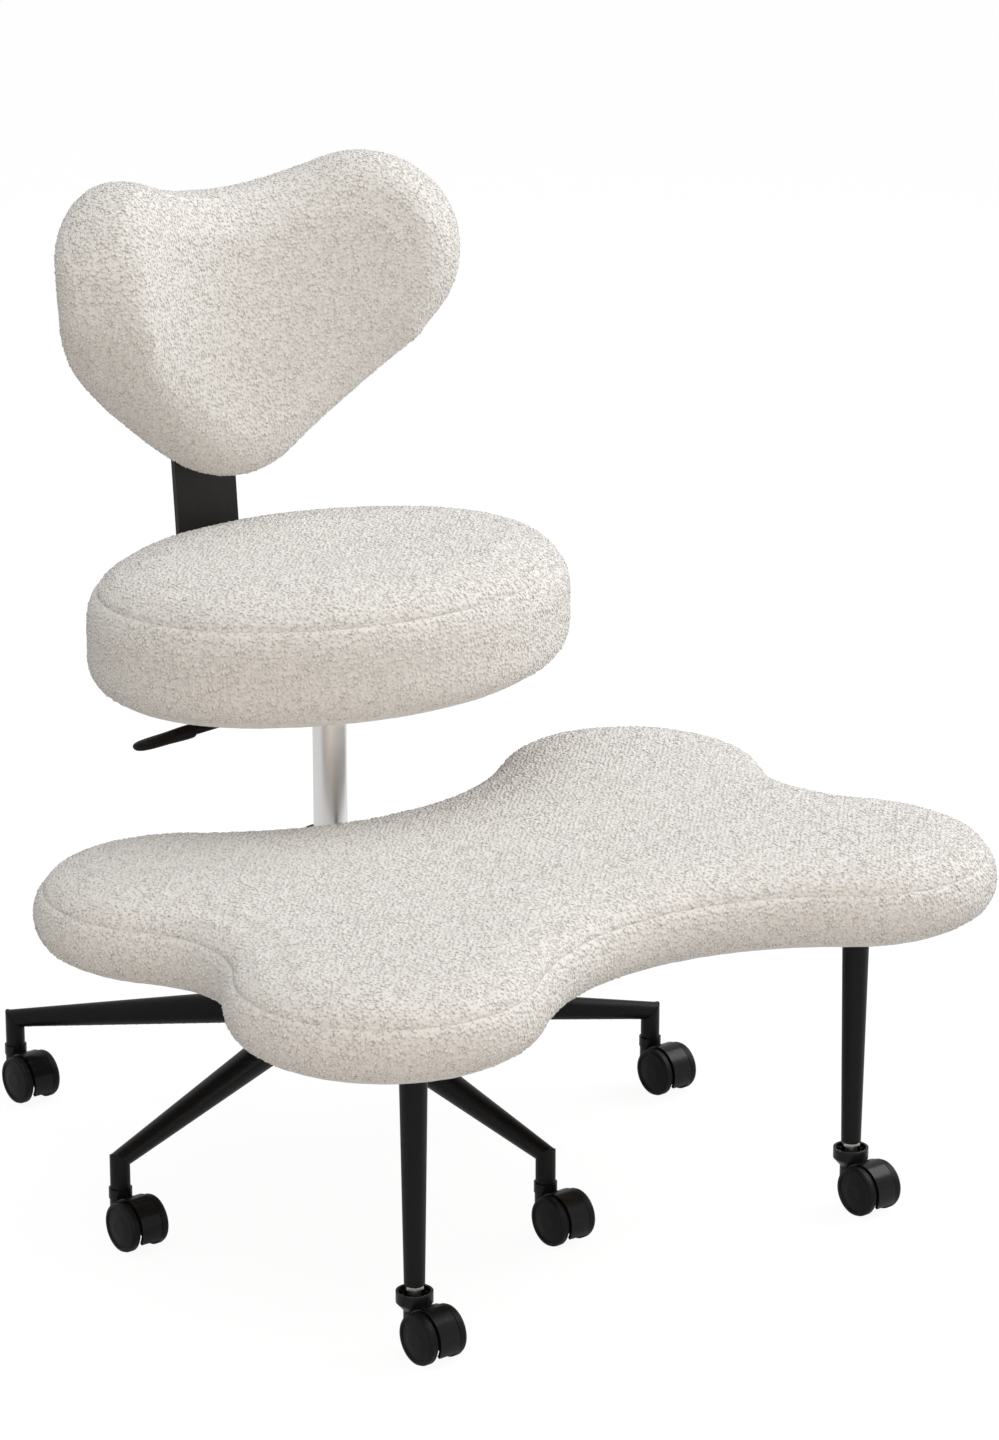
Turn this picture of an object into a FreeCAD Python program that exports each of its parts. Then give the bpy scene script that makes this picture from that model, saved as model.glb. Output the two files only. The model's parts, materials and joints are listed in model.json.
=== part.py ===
import FreeCAD, Part
import math
import os
import Sketcher
from FreeCAD import Placement, Rotation, Vector

# Cross-legged office chair: a round seat with a heart-shaped back on a gas lift, and a
# butterfly-shaped footrest that swings round the same column on two wheeled legs.
# Millimetres. The origin is where the column's axis meets the floor, +Z is up and the
# chair faces -Y. The sitter's right hand, with the lever, is at -X.

SIZES = {
    # gas lift, on the standard 50 mm and 28 mm diameters
    "tube_radius": 25.0,
    "tube_foot_radius": 23.4,
    "tube_bore": 23.0,
    "tube_low_bore": 21.4,
    "tube_bottom": 62.0,
    "tube_floor": 66.0,
    "tube_taper_top": 140.0,
    "tube_step": 150.0,
    "tube_top": 255.0,
    "bush_bottom": 205.0,
    "bush_flange": 5.0,
    "lift_radius": 14.0,
    "lift_bore": 12.0,
    "lift_neck_radius": 13.2,
    "lift_bottom": 118.0,
    "lift_taper_bottom": 358.0,
    "lift_top": 374.5,
    "lift_end": 12.0,
    "rod_radius": 5.0,
    "rod_hole": 5.5,
    "rod_bottom": 57.0,
    "rod_clip_radius": 8.0,
    "rod_clip_top": 61.5,
    "rod_shoulder_radius": 9.0,
    "rod_shoulder": 5.0,
    "piston_bottom": 262.0,
    "piston_top": 280.0,
    "bearing_radius": 14.0,
    "bearing_height": 8.0,
    "pin_radius": 3.5,
    "pin_bottom": 358.0,
    "pin_top": 379.2,
    "edge_break": 1.0,
    # five-armed base
    "hub_radius": 31.0,
    "hub_bottom": 84.0,
    "hub_top": 138.0,
    "hub_edge": 2.0,
    "arm_reach": 284.8,
    "arm_turn": 52.8,
    "arm_root_reach": 20.0,
    "arm_root_height": 107.5,
    "arm_root_radius": 15.5,
    "arm_tip_height": 66.5,
    "arm_wall": 2.0,
    "arm_length": 280.0,
    "arm_end_radius": 7.25,
    "mitre_room": 60.0,
    "arm_hollow_length": 250.0,
    "arm_hollow_tip": 6.6,
    "stub_radius": 8.0,
    "stub_bottom": 43.6,
    # casters
    "wheel_radius": 20.0,
    "wheel_inner": 9.8,
    "wheel_width": 7.6,
    "wheel_round": 2.6,
    "wheel_rim": 3.0,
    "wheel_rim_lip": 0.4,
    "wheel_rim_foot": 1.2,
    "wheel_back_depth": 3.2,
    "wheel_blind": 5.4,
    "wheel_draft": 0.7,
    "wheel_face_sink": 0.9,
    "wheel_face_rise": 0.3,
    "wheel_face_middle": 7.0,
    "caster_trail": 22.0,
    "axle_radius": 3.0,
    "axle_reach": 14.9,
    "axle_boss": 5.5,
    "hood_radius": 21.4,
    "hood_wall": 2.4,
    "hood_half": 9.0,
    "hood_sweep": 240.0,
    "web_half": 2.5,
    "stem_radius": 5.0,
    "stem_bottom": 22.0,
    "stem_end_gap": 0.3,
    "nut_radius": 7.5,
    "nut_height": 2.6,
    "nut_gap": 0.6,
    "neck_bottom": 15.0,
    "neck_radius": 8.6,
    "collar_radius": 9.3,
    "collar_bottom": 35.0,
    "collar_top": 43.2,
    "cup_radius": 14.2,
    "cup_bore": 12.2,
    "cup_floor": 41.0,
    "cup_bottom": 39.5,
    "cup_taper_bottom": 33.0,
    "cup_top": 48.0,
    "cup_rib": 1.0,
    "cup_rib_length": 25.4,
    "cup_rib_drop": 2.0,
    "running_gap": 0.05,
    # footrest frame
    "leg_x": 222.3,
    "leg_y": -392.9,
    "leg_bottom": 52.6,
    "leg_foot_radius": 8.0,
    "leg_head_radius": 11.0,
    "leg_wall": 1.6,
    "leg_hollow_foot": 6.9,
    "leg_plug_top": 85.0,
    "leg_plug_bore_top": 79.0,
    "flange_radius": 32.0,
    "flange_thick": 3.0,
    "flange_bolt_ring": 23.0,
    "sleeve_radius": 31.0,
    "sleeve_bore": 28.0,
    "sleeve_bottom": 141.2,
    "sleeve_top": 240.0,
    "swivel_gap": 0.2,
    "swivel_bore": 25.1,
    "footarm_width": 40.0,
    "footarm_depth": 20.0,
    "footarm_wall": 2.0,
    "footarm_front": -335.0,
    "strap_width": 120.0,
    "strap_depth": 40.0,
    "strap_bolt_x": 46.0,
    "strap_rear_y": -165.0,
    "strap_front_y": -310.0,
    # footrest board and cushion
    "board_thick": 12.0,
    "foot_rear_x": 227.4,
    "foot_rear_y": -113.4,
    "foot_rear_lobe": 117.0,
    "foot_front_x": 228.9,
    "foot_front_y": -370.8,
    "foot_front_lobe": 121.0,
    "foot_rear_waist": -81.7,
    "foot_front_waist": -405.9,
    "foot_side_arc": 95.0,
    "foot_bottom": 243.6,
    "foot_top": 306.5,
    "foot_low_round": 26.5,
    "foot_high_round": 33.5,
    "foot_crown": 2.0,
    "foot_crown_inset": 72.0,
    "foot_board_inset": 34.0,
    # seat board and cushion
    "seat_half_width": 211.0,
    "seat_front": -167.5,
    "seat_rear": 158.5,
    "seat_end_arc": 136.0,
    "seat_bottom": 396.0,
    "seat_top": 500.0,
    "seat_low_round": 29.0,
    "seat_high_round": 42.0,
    "seat_draw_in": 1.2,
    "seat_crown": 3.0,
    "seat_crown_inset": 90.0,
    "seat_board_inset": 40.0,
    # seat mechanism and release lever
    "plate_side": 156.0,
    "plate_corner": 18.0,
    "plate_thick": 3.0,
    "pan_width": 76.0,
    "pan_depth": 80.0,
    "pan_bottom": 369.0,
    "pan_wall": 2.5,
    "socket_radius": 18.0,
    "socket_bottom": 358.0,
    "lever_y": 3.0,
    "lever_rod": 4.0,
    "lever_inner_x": 8.0,
    "lever_inner_z": 384.0,
    "lever_bend_x": -52.0,
    "lever_elbow_x": -70.0,
    "lever_elbow_z": 376.0,
    "lever_droop": 3.7,
    "lever_bend_arc": 22.0,
    "lever_pivot_x": -28.0,
    "lever_pivot_pin": 2.5,
    "lever_pivot_half": 14.0,
    "pivot_bore_half": 15.0,
    "ear_gap": 5.0,
    "ear_thick": 3.0,
    "ear_length": 10.0,
    "ear_drop": 14.0,
    "slot_room": 3.0,
    "grip_start_x": -134.0,
    "grip_length": 57.0,
    "grip_bore_depth": 26.0,
    # back bar, board and cushion
    "back_base_y": 128.0,
    "back_base_z": 537.0,
    "back_recline": 4.7,
    "back_bend": 224.0,
    "back_thick": 75.4,
    "back_round": 31.6,
    "back_lobe_u": 124.1,
    "back_lobe_v": 174.5,
    "back_lobe": 82.7,
    "back_dip": 236.8,
    "back_tip": 84.8,
    "back_crown": 3.0,
    "back_board_thick": 10.0,
    "back_board_proud": 0.6,
    "back_board_half_u": 75.0,
    "back_board_low": 70.0,
    "back_board_high": 205.0,
    "back_land_half": 33.0,
    "back_land_low": 82.0,
    "back_land_high": 182.0,
    "back_land_sink": 6.0,
    "back_bolt_inset": 18.0,
    "bar_offset": 40.0,
    "bar_width": 61.0,
    "bar_thick": 5.0,
    "bar_bend": 20.0,
    "bar_root_y": 84.0,
    "bar_bolt_inset": 16.0,
    "bar_head_v": 172.0,
    "bar_head_corner": 14.0,
    # bolts
    "bolt_radius": 3.0,
    "bolt_head_radius": 6.0,
    "bolt_head_height": 4.0,
    "bolt_length": 13.0,
}

doc = FreeCAD.newDocument("CrossLeggedChair")
sheet = doc.addObject("Spreadsheet::Sheet", "Sizes")
for row, (alias, number) in enumerate(SIZES.items(), start=1):
    sheet.set("A%d" % row, alias)
    sheet.set("B%d" % row, str(number))
    sheet.setAlias("B%d" % row, alias)
doc.recompute()

pieces = []


def size(expression):
    return float(sheet.evalExpression(sized(expression)))


# In the expressions below a bare name is a size from the sheet.
def sized(expression):
    words = []
    for word in str(expression).split():
        bare = word.strip("()")
        words.append(word.replace(bare, "Sizes." + bare) if bare in SIZES else word)
    return " ".join(words)


def bind(item, **expressions):
    for name, expression in expressions.items():
        item.setExpression(name.replace("__", "."), sized(expression))
    return item


def place(item, x="0", y="0", z="0"):
    return bind(item, Placement__Base__x=x, Placement__Base__y=y, Placement__Base__z=z)


def keep(item, label):
    item.Label = label
    pieces.append(item)
    return item


def origin_plane(body, role):
    return next(plane for plane in body.Origin.OriginFeatures if plane.Role == role)


# A closed outline of straight sides on one of a body's origin planes. Each corner is (x, y).
def outline(body, role, name, corners):
    sketch = body.newObject("Sketcher::SketchObject", name)
    sketch.AttachmentSupport = [(origin_plane(body, role), "")]
    sketch.MapMode = "FlatFace"
    spots = [Vector(size(across), size(up), 0) for across, up in corners]
    for start, finish in zip(spots, spots[1:] + spots[:1]):
        sketch.addGeometry(Part.LineSegment(start, finish), False)
    for index, (across, up) in enumerate(corners):
        after = (index + 1) % len(corners)
        sketch.addConstraint(Sketcher.Constraint("Coincident", index, 2, after, 1))
        for kind, axis, expression in (("DistanceX", -2, across), ("DistanceY", -1, up)):
            if str(expression) == "0":
                sketch.addConstraint(Sketcher.Constraint("PointOnObject", index, 1, axis))
                continue
            limit = Sketcher.Constraint(kind, -1, 1, index, 1, size(expression))
            number = sketch.addConstraint(limit)
            sketch.setExpression("Constraints[%d]" % number, sized(expression))
    return sketch


# A turned piece: the outline of half its section, in radius and height, swept round Z.
def turned(label, corners):
    body = doc.addObject("PartDesign::Body", label)
    sketch = outline(body, "XZ_Plane", label + "_section", corners)
    turn = body.newObject("PartDesign::Revolution", label + "_turn")
    turn.Profile = sketch
    turn.ReferenceAxis = (sketch, ["V_Axis"])
    turn.Angle = 360.0
    sketch.Visibility = False
    return body


def cylinder(name, radius, height, x="0", y="0", z="0"):
    item = doc.addObject("Part::Cylinder", name)
    bind(item, Radius=radius, Height=height)
    return place(item, x, y, z)


def cone(name, low_radius, high_radius, height, z="0"):
    item = doc.addObject("Part::Cone", name)
    bind(item, Radius1=low_radius, Radius2=high_radius, Height=height)
    return place(item, z=z)


# A block given by its middle in X and Y, and by its underside.
def block(name, width, depth, height, x="0", y="0", z="0"):
    item = doc.addObject("Part::Box", name)
    bind(item, Length=width, Width=depth, Height=height)
    return place(item, "%s - ( %s ) / 2" % (x, width), "%s - ( %s ) / 2" % (y, depth), z)


def cut(name, base, tool):
    item = doc.addObject("Part::Cut", name)
    item.Base = base
    item.Tool = tool
    return item


def fuse(name, items):
    item = doc.addObject("Part::MultiFuse", name)
    item.Shapes = items
    return item


def group(name, items):
    item = doc.addObject("Part::Compound", name)
    item.Links = items
    return item


def turn_about(item, axis, degrees):
    item.Placement = Placement(item.Placement.Base, Rotation(axis, degrees))
    return item


AXIS_X = Vector(1, 0, 0)
AXIS_Y = Vector(0, 1, 0)
AXIS_Z = Vector(0, 0, 1)


# A bolt with its head below the plane that it clamps, pointing up.
def bolt(name, x="0", y="0", z="0"):
    head = cylinder(name + "_head", "bolt_head_radius", "bolt_head_height", z="0 - bolt_head_height")
    shank = cylinder(name + "_shank", "bolt_radius", "bolt_length")
    return place(fuse(name, [head, shank]), x, y, z)


# The hole that a bolt fills, from the plane under its head to the end of its shank.
def bolt_hole(name, x="0", y="0", z="0"):
    return cylinder(name, "bolt_radius", "bolt_length", x, y, z)


# Gas lift. The tube stands in the hub and holds the bush and the bearing. The rod turns on
# the bearing, and the cylinder slides on the rod and carries the seat.
keep(turned("gas_lift_tube", [
    ("rod_hole", "tube_bottom"),
    ("tube_foot_radius", "tube_bottom"),
    ("tube_radius", "tube_taper_top"),
    ("tube_radius", "tube_top"),
    ("tube_bore", "tube_top"),
    ("tube_bore", "tube_step"),
    ("tube_low_bore", "tube_step"),
    ("tube_low_bore", "tube_floor"),
    ("rod_hole", "tube_floor"),
]), "gas_lift_tube")

keep(turned("gas_lift_bush", [
    ("lift_radius + running_gap", "bush_bottom"),
    ("tube_bore", "bush_bottom"),
    ("tube_bore", "tube_top"),
    ("tube_radius", "tube_top"),
    ("tube_radius - edge_break", "tube_top + bush_flange"),
    ("lift_radius + running_gap", "tube_top + bush_flange"),
]), "gas_lift_bush")

keep(turned("gas_lift_bearing", [
    ("rod_hole", "tube_floor"),
    ("bearing_radius", "tube_floor"),
    ("bearing_radius", "tube_floor + bearing_height"),
    ("rod_hole", "tube_floor + bearing_height"),
]), "gas_lift_bearing")

shoulder_low = "tube_floor + bearing_height + swivel_gap"
shoulder_high = "tube_floor + bearing_height + swivel_gap + rod_shoulder"
keep(turned("gas_lift_rod", [
    ("0", "rod_bottom"),
    ("rod_clip_radius", "rod_bottom"),
    ("rod_clip_radius", "rod_clip_top"),
    ("rod_radius", "rod_clip_top"),
    ("rod_radius", shoulder_low),
    ("rod_shoulder_radius", shoulder_low),
    ("rod_shoulder_radius", shoulder_high),
    ("rod_radius", shoulder_high),
    ("rod_radius", "piston_bottom"),
    ("lift_bore - running_gap", "piston_bottom"),
    ("lift_bore - running_gap", "piston_top"),
    ("0", "piston_top"),
]), "gas_lift_rod")

keep(turned("gas_lift_cylinder", [
    ("rod_radius + running_gap", "lift_bottom"),
    ("lift_radius - edge_break", "lift_bottom"),
    ("lift_radius", "lift_bottom + edge_break"),
    ("lift_radius", "lift_taper_bottom"),
    ("lift_neck_radius", "lift_top"),
    ("pin_radius + running_gap", "lift_top"),
    ("pin_radius + running_gap", "lift_top - lift_end"),
    ("lift_bore", "lift_top - lift_end"),
    ("lift_bore", "lift_bottom + lift_end"),
    ("rod_radius + running_gap", "lift_bottom + lift_end"),
]), "gas_lift_cylinder")

keep(turned("gas_lift_pin", [
    ("0", "pin_bottom"),
    ("pin_radius", "pin_bottom"),
    ("pin_radius", "pin_top - edge_break"),
    ("pin_radius - edge_break", "pin_top"),
    ("0", "pin_top"),
]), "gas_lift_pin")

# Base: a hub with a tapered seat, and five round arms that taper to a mitred stub.
taper = "( tube_radius - tube_foot_radius ) / ( tube_taper_top - tube_bottom )"
seat_radius = "tube_radius - ( tube_taper_top - %s ) * " + taper
keep(turned("base_hub", [
    (seat_radius % "hub_bottom", "hub_bottom"),
    ("hub_radius - hub_edge", "hub_bottom"),
    ("hub_radius", "hub_bottom + hub_edge"),
    ("hub_radius", "hub_top - hub_edge"),
    ("hub_radius - hub_edge", "hub_top"),
    (seat_radius % "hub_top", "hub_top"),
]), "base_hub")

arm_rise = size("arm_root_height - arm_tip_height")
arm_run = size("arm_reach - arm_root_reach")
arm_slope = math.degrees(math.atan2(arm_rise, arm_run))
mitre_turn = 135 + arm_slope / 2


# A block with one face on the mitre between an arm and its stub, on the stub's side of that face
# or, with the depth given, that far behind it.
def mitre_block(name, depth):
    item = doc.addObject("Part::Box", name)
    bind(item, Length="mitre_room", Width="mitre_room", Height="mitre_room")
    sine = "sin( %.6f )" % mitre_turn
    cosine = "cos( %.6f )" % mitre_turn
    place(item, "arm_reach - mitre_room / 2 * %s - %s * %s" % (cosine, depth, sine), "0 - mitre_room / 2",
          "arm_tip_height + mitre_room / 2 * %s - %s * %s" % (sine, depth, cosine))
    return turn_about(item, AXIS_Y, mitre_turn)


# A cone along an arm's line, from its root outwards.
def arm_cone(name, root_radius, tip_radius, length):
    item = cone(name, root_radius, tip_radius, length)
    place(item, "arm_root_reach", "0", "arm_root_height")
    return turn_about(item, AXIS_Y, 90 + arm_slope)


def arm_angle(number):
    return "arm_turn + 72 * %d" % number


def base_arm(number):
    label = "base_arm_%d" % (number + 1)
    taper_tube = arm_cone(label + "_taper", "arm_root_radius", "arm_end_radius", "arm_length")
    tube = cut(label + "_tube", taper_tube, mitre_block(label + "_ahead", "0"))
    upright = cylinder(label + "_upright", "stub_radius", "arm_tip_height + stub_radius * 2 - stub_bottom",
                       "arm_reach", z="stub_bottom")
    stub = cut(label + "_stub", upright, mitre_block(label + "_behind", "mitre_room"))
    hollow = arm_cone(label + "_hollow", "arm_root_radius - arm_wall", "arm_hollow_tip", "arm_hollow_length")
    socket = cylinder(label + "_socket", "stem_radius", "arm_tip_height - stub_bottom", "arm_reach",
                      z="stub_bottom")
    hub_space = cylinder(label + "_hub_space", "hub_radius", "hub_top * 2")
    skin = fuse(label + "_skin", [tube, stub])
    arm = cut(label, skin, fuse(label + "_voids", [hollow, socket, hub_space]))
    turn_about(arm, AXIS_Z, 0)
    bind(arm, Placement__Rotation__Angle=arm_angle(number))
    return keep(arm, label)


for number in range(5):
    base_arm(number)


# Casters. Each is drawn with its stem on Z and its axle in front of the stem.
def base_stem(name, x, y):
    return cylinder(name, "stem_radius", "arm_tip_height - stem_bottom", x, y, "stem_bottom")


def leg_stem(name, top, x, y):
    pin = cylinder(name + "_pin", "stem_radius", "%s - stem_bottom" % top, z="stem_bottom")
    nut = doc.addObject("Part::Prism", name + "_nut")
    nut.Polygon = 6
    bind(nut, Circumradius="nut_radius", Height="nut_height")
    place(nut, z="leg_bottom - nut_height")
    return place(fuse(name, [pin, nut]), x, y)


def caster_housing(label, has_cup, x, y):
    band = cylinder(label + "_band", "hood_radius", "hood_half * 2", "0 - hood_half", "0 - caster_trail",
                    "wheel_radius")
    void = cylinder(label + "_void", "hood_radius - hood_wall", "hood_half * 2", "0 - hood_half",
                    "0 - caster_trail", "wheel_radius")
    web = cylinder(label + "_web", "hood_radius - hood_wall / 2", "web_half * 2", "0 - web_half",
                   "0 - caster_trail", "wheel_radius")
    boss = cylinder(label + "_boss", "axle_boss", "hood_half * 2", "0 - hood_half", "0 - caster_trail",
                    "wheel_radius")
    bore = cylinder(label + "_axle_bore", "axle_radius", "hood_half * 2", "0 - hood_half", "0 - caster_trail",
                    "wheel_radius")
    across = Rotation(AXIS_Y, 90)
    start = Rotation(AXIS_Z, 180 - size("hood_sweep") / 2)
    for item in (band, web):
        bind(item, Angle="hood_sweep")
        item.Placement = Placement(item.Placement.Base, across.multiply(start))
    for item in (void, boss, bore):
        turn_about(item, AXIS_Y, 90)
    hood = cut(label + "_hood", band, void)
    neck_top = "cup_floor" if has_cup else "collar_top"
    neck = cylinder(label + "_neck", "neck_radius", "%s - neck_bottom" % neck_top, z="neck_bottom")
    solids = [hood, web, boss, neck]
    hollows = [bore]
    if has_cup:
        solids.append(cone(label + "_flare", "neck_radius", "cup_radius", "cup_bottom - cup_taper_bottom",
                           "cup_taper_bottom"))
        rim = cylinder(label + "_rim", "cup_radius", "cup_top - cup_bottom", z="cup_bottom")
        dish = cylinder(label + "_dish", "cup_bore", "cup_top - cup_floor", z="cup_floor")
        solids.append(cut(label + "_cup", rim, dish))
        for rib_number in range(4):
            turn = 45 * rib_number + 22.5
            rib = doc.addObject("Part::Box", label + "_rib_%d" % rib_number)
            bind(rib, Length="cup_rib_length", Width="cup_rib", Height="cup_top - cup_floor - cup_rib_drop")
            place(rib, "cup_rib / 2 * sin( %s ) - cup_rib_length / 2 * cos( %s )" % (turn, turn),
                  "0 - cup_rib / 2 * cos( %s ) - cup_rib_length / 2 * sin( %s )" % (turn, turn), "cup_floor")
            solids.append(turn_about(rib, AXIS_Z, turn))
        hollows.append(cylinder(label + "_ring", "nut_radius + nut_gap", "cup_top - cup_floor",
                                z="cup_floor"))
    else:
        solids.append(cylinder(label + "_collar", "collar_radius", "collar_top - collar_bottom",
                               z="collar_bottom"))
    hollows.append(cylinder(label + "_stem_bore", "stem_radius + running_gap", "cup_top - stem_bottom",
                            z="stem_bottom - stem_end_gap"))
    whole = cut(label, fuse(label + "_solid", solids), fuse(label + "_hollows", hollows))
    return keep(place(whole, x, y), label)


# A wheel is turned about Z with its hidden inner face at the bottom: a recessed back, a tread
# with a rounded-off shoulder, a raised rim and a closed face that rises to its middle.
def caster_wheel(label, side, x, y):
    wheel = turned(label, [
        ("0", "wheel_blind"),
        ("axle_radius + running_gap", "wheel_blind"),
        ("axle_radius + running_gap", "0"),
        ("axle_boss", "0"),
        ("axle_boss + wheel_draft", "wheel_back_depth"),
        ("wheel_radius - wheel_rim - wheel_draft", "wheel_back_depth"),
        ("wheel_radius - wheel_rim", "0"),
        ("wheel_radius - edge_break", "0"),
        ("wheel_radius", "edge_break"),
        ("wheel_radius", "wheel_width - wheel_round"),
        ("wheel_radius - wheel_round * 0.3", "wheel_width - wheel_round * 0.3"),
        ("wheel_radius - wheel_round", "wheel_width"),
        ("wheel_radius - wheel_rim - wheel_rim_lip", "wheel_width"),
        ("wheel_radius - wheel_rim - wheel_rim_foot", "wheel_width - wheel_face_sink"),
        ("wheel_face_middle", "wheel_width + wheel_face_rise"),
        ("0", "wheel_width + wheel_face_rise"),
    ])
    reach = "wheel_inner" if side > 0 else "0 - wheel_inner"
    place(wheel, "%s + %s" % (x, reach), "%s - caster_trail" % y, "wheel_radius")
    turn_about(wheel, AXIS_Y, 90 * side)
    return keep(wheel, label)


def caster(label, has_cup, x, y):
    caster_housing(label + "_housing", has_cup, x, y)
    axle = cylinder(label + "_axle", "axle_radius", "axle_reach * 2", "%s - axle_reach" % x,
                    "%s - caster_trail" % y, "wheel_radius")
    keep(turn_about(axle, AXIS_Y, 90), label + "_axle")
    caster_wheel(label + "_wheel_right", -1, x, y)
    caster_wheel(label + "_wheel_left", 1, x, y)


base_stems = []
for number in range(5):
    stem_x = "arm_reach * cos( %s )" % arm_angle(number)
    stem_y = "arm_reach * sin( %s )" % arm_angle(number)
    caster("base_caster_%d" % (number + 1), False, stem_x, stem_y)
    base_stems.append(base_stem("base_stem_%d" % (number + 1), stem_x, stem_y))
keep(group("base_caster_stems", base_stems), "base_caster_stems")

# Footrest frame: a sleeve that turns on the column, an arm under the board and two legs.
keep(turned("footrest_bush", [
    ("swivel_bore", "hub_top + swivel_gap"),
    ("sleeve_radius", "hub_top + swivel_gap"),
    ("sleeve_radius", "sleeve_bottom"),
    ("sleeve_bore", "sleeve_bottom"),
    ("sleeve_bore", "sleeve_top"),
    ("swivel_bore", "sleeve_top"),
]), "footrest_bush")

keep(turned("footrest_collar", [
    ("sleeve_bore", "sleeve_bottom"),
    ("sleeve_radius", "sleeve_bottom"),
    ("sleeve_radius", "sleeve_top"),
    ("sleeve_bore", "sleeve_top"),
]), "footrest_collar")

strap_z = "foot_bottom - flange_thick"
footarm_z = "foot_bottom - flange_thick - footarm_depth"
foot_bolt_spots = []
for strap_y in ("strap_rear_y", "strap_front_y"):
    for sign in (-1, 1):
        foot_bolt_spots.append(("%d * strap_bolt_x" % sign, strap_y))
for side in (-1, 1):
    for quarter in range(4):
        turn = 45 + 90 * quarter
        bolt_x = "%d * leg_x + flange_bolt_ring * cos( %d )" % (side, turn)
        bolt_y = "leg_y + flange_bolt_ring * sin( %d )" % turn
        foot_bolt_spots.append((bolt_x, bolt_y))


def foot_bolt_holes(name):
    holes = []
    for number, (x, y) in enumerate(foot_bolt_spots):
        holes.append(bolt_hole("%s_hole_%d" % (name, number), x, y, strap_z))
    return group(name + "_holes", holes)


footarm_middle = "( footarm_front - arm_root_reach ) / 2"
footarm_length = "( 0 - footarm_front - arm_root_reach )"
tube = block("footarm_tube", "footarm_width", footarm_length, "footarm_depth", "0", footarm_middle,
             footarm_z)
bore = block("footarm_bore", "footarm_width - footarm_wall * 2", footarm_length,
             "footarm_depth - footarm_wall * 2", "0", footarm_middle + " + footarm_wall",
             footarm_z + " + footarm_wall")
straps = []
for strap_y in ("strap_rear_y", "strap_front_y"):
    straps.append(block("footarm_" + strap_y, "strap_width", "strap_depth", "flange_thick", "0", strap_y,
                        strap_z))
footarm = fuse("footarm_welded", [cut("footarm_box", tube, bore)] + straps)
column_space = cylinder("footarm_column_space", "sleeve_radius", "foot_top")
keep(cut("footrest_arm", footarm, fuse("footarm_voids", [column_space, foot_bolt_holes("footarm")])),
     "footrest_arm")


def footrest_leg(label, x):
    leg = turned(label + "_tube", [
        ("stem_radius", "leg_bottom"),
        ("leg_foot_radius - edge_break", "leg_bottom"),
        ("leg_foot_radius", "leg_bottom + edge_break"),
        ("leg_head_radius", strap_z),
        ("flange_radius", strap_z),
        ("flange_radius", "foot_bottom"),
        ("leg_head_radius - leg_wall", "foot_bottom"),
        ("leg_hollow_foot", "leg_plug_top"),
        ("0", "leg_plug_top"),
        ("0", "leg_plug_bore_top"),
        ("stem_radius", "leg_plug_bore_top"),
    ])
    place(leg, x, "leg_y")
    return keep(cut(label, leg, foot_bolt_holes(label)), label)


leg_stems = []
for side, x in (("right", "0 - leg_x"), ("left", "leg_x")):
    footrest_leg("footrest_leg_" + side, x)
    caster("leg_caster_" + side, True, x, "leg_y")
    leg_stems.append(leg_stem("leg_stem_" + side, "leg_plug_bore_top", x, "leg_y"))
keep(group("leg_caster_stems", leg_stems), "leg_caster_stems")

foot_bolts = []
for number, (x, y) in enumerate(foot_bolt_spots):
    foot_bolts.append(bolt("foot_bolt_%d" % number, x, y, strap_z))
keep(group("footrest_bolts", foot_bolts), "footrest_bolts")


# Outlines of tangent arcs. An inset makes the bulging arcs smaller and the waists larger.
def arc_through(centre, radius, first, last, height):
    middle = (first + last) / 2
    spots = []
    for angle in (first, middle, last):
        outward = Vector(math.cos(angle), math.sin(angle), 0)
        spots.append(Vector(centre[0], centre[1], height) + outward * radius)
    return Part.Arc(spots[0], spots[1], spots[2]).toShape()


def bearing(start, end):
    return math.atan2(end[1] - start[1], end[0] - start[0])


# The centre of the arc that bridges two lobes, on the side of the larger X.
def bridge_centre(first, first_reach, second, second_reach):
    gap = math.dist(first, second)
    along = (first_reach ** 2 - second_reach ** 2 + gap ** 2) / (2 * gap)
    out = math.sqrt(first_reach ** 2 - along ** 2)
    unit = ((second[0] - first[0]) / gap, (second[1] - first[1]) / gap)
    return (first[0] + unit[0] * along + unit[1] * out, first[1] + unit[1] * along - unit[0] * out)


# The radius of the waist that touches a lobe and its mirror image at a given depth on X = 0.
def waist_radius(lobe_x, lobe_offset, lobe_radius):
    return (lobe_x ** 2 + lobe_offset ** 2 - lobe_radius ** 2) / (2 * (lobe_radius - lobe_offset))


def seat_wire(inset, height):
    half_x = size("seat_half_width")
    half_y = size("( seat_rear - seat_front ) / 2")
    middle_y = size("( seat_rear + seat_front ) / 2")
    end = size("seat_end_arc")
    side = (half_x ** 2 + half_y ** 2 - 2 * half_x * end) / (2 * (half_y - end))
    corner = math.atan2(side - half_y, half_x - end)
    edges = []
    for quarter, centre, radius in (
        (0, (half_x - end, middle_y), end),
        (1, (0, middle_y + half_y - side), side),
        (2, (end - half_x, middle_y), end),
        (3, (0, middle_y - half_y + side), side),
    ):
        half_angle = corner if quarter % 2 == 0 else math.pi / 2 - corner
        facing = quarter * math.pi / 2
        edges.append(arc_through(centre, radius - inset, facing - half_angle, facing + half_angle, height))
    return Part.Wire(edges)


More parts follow.
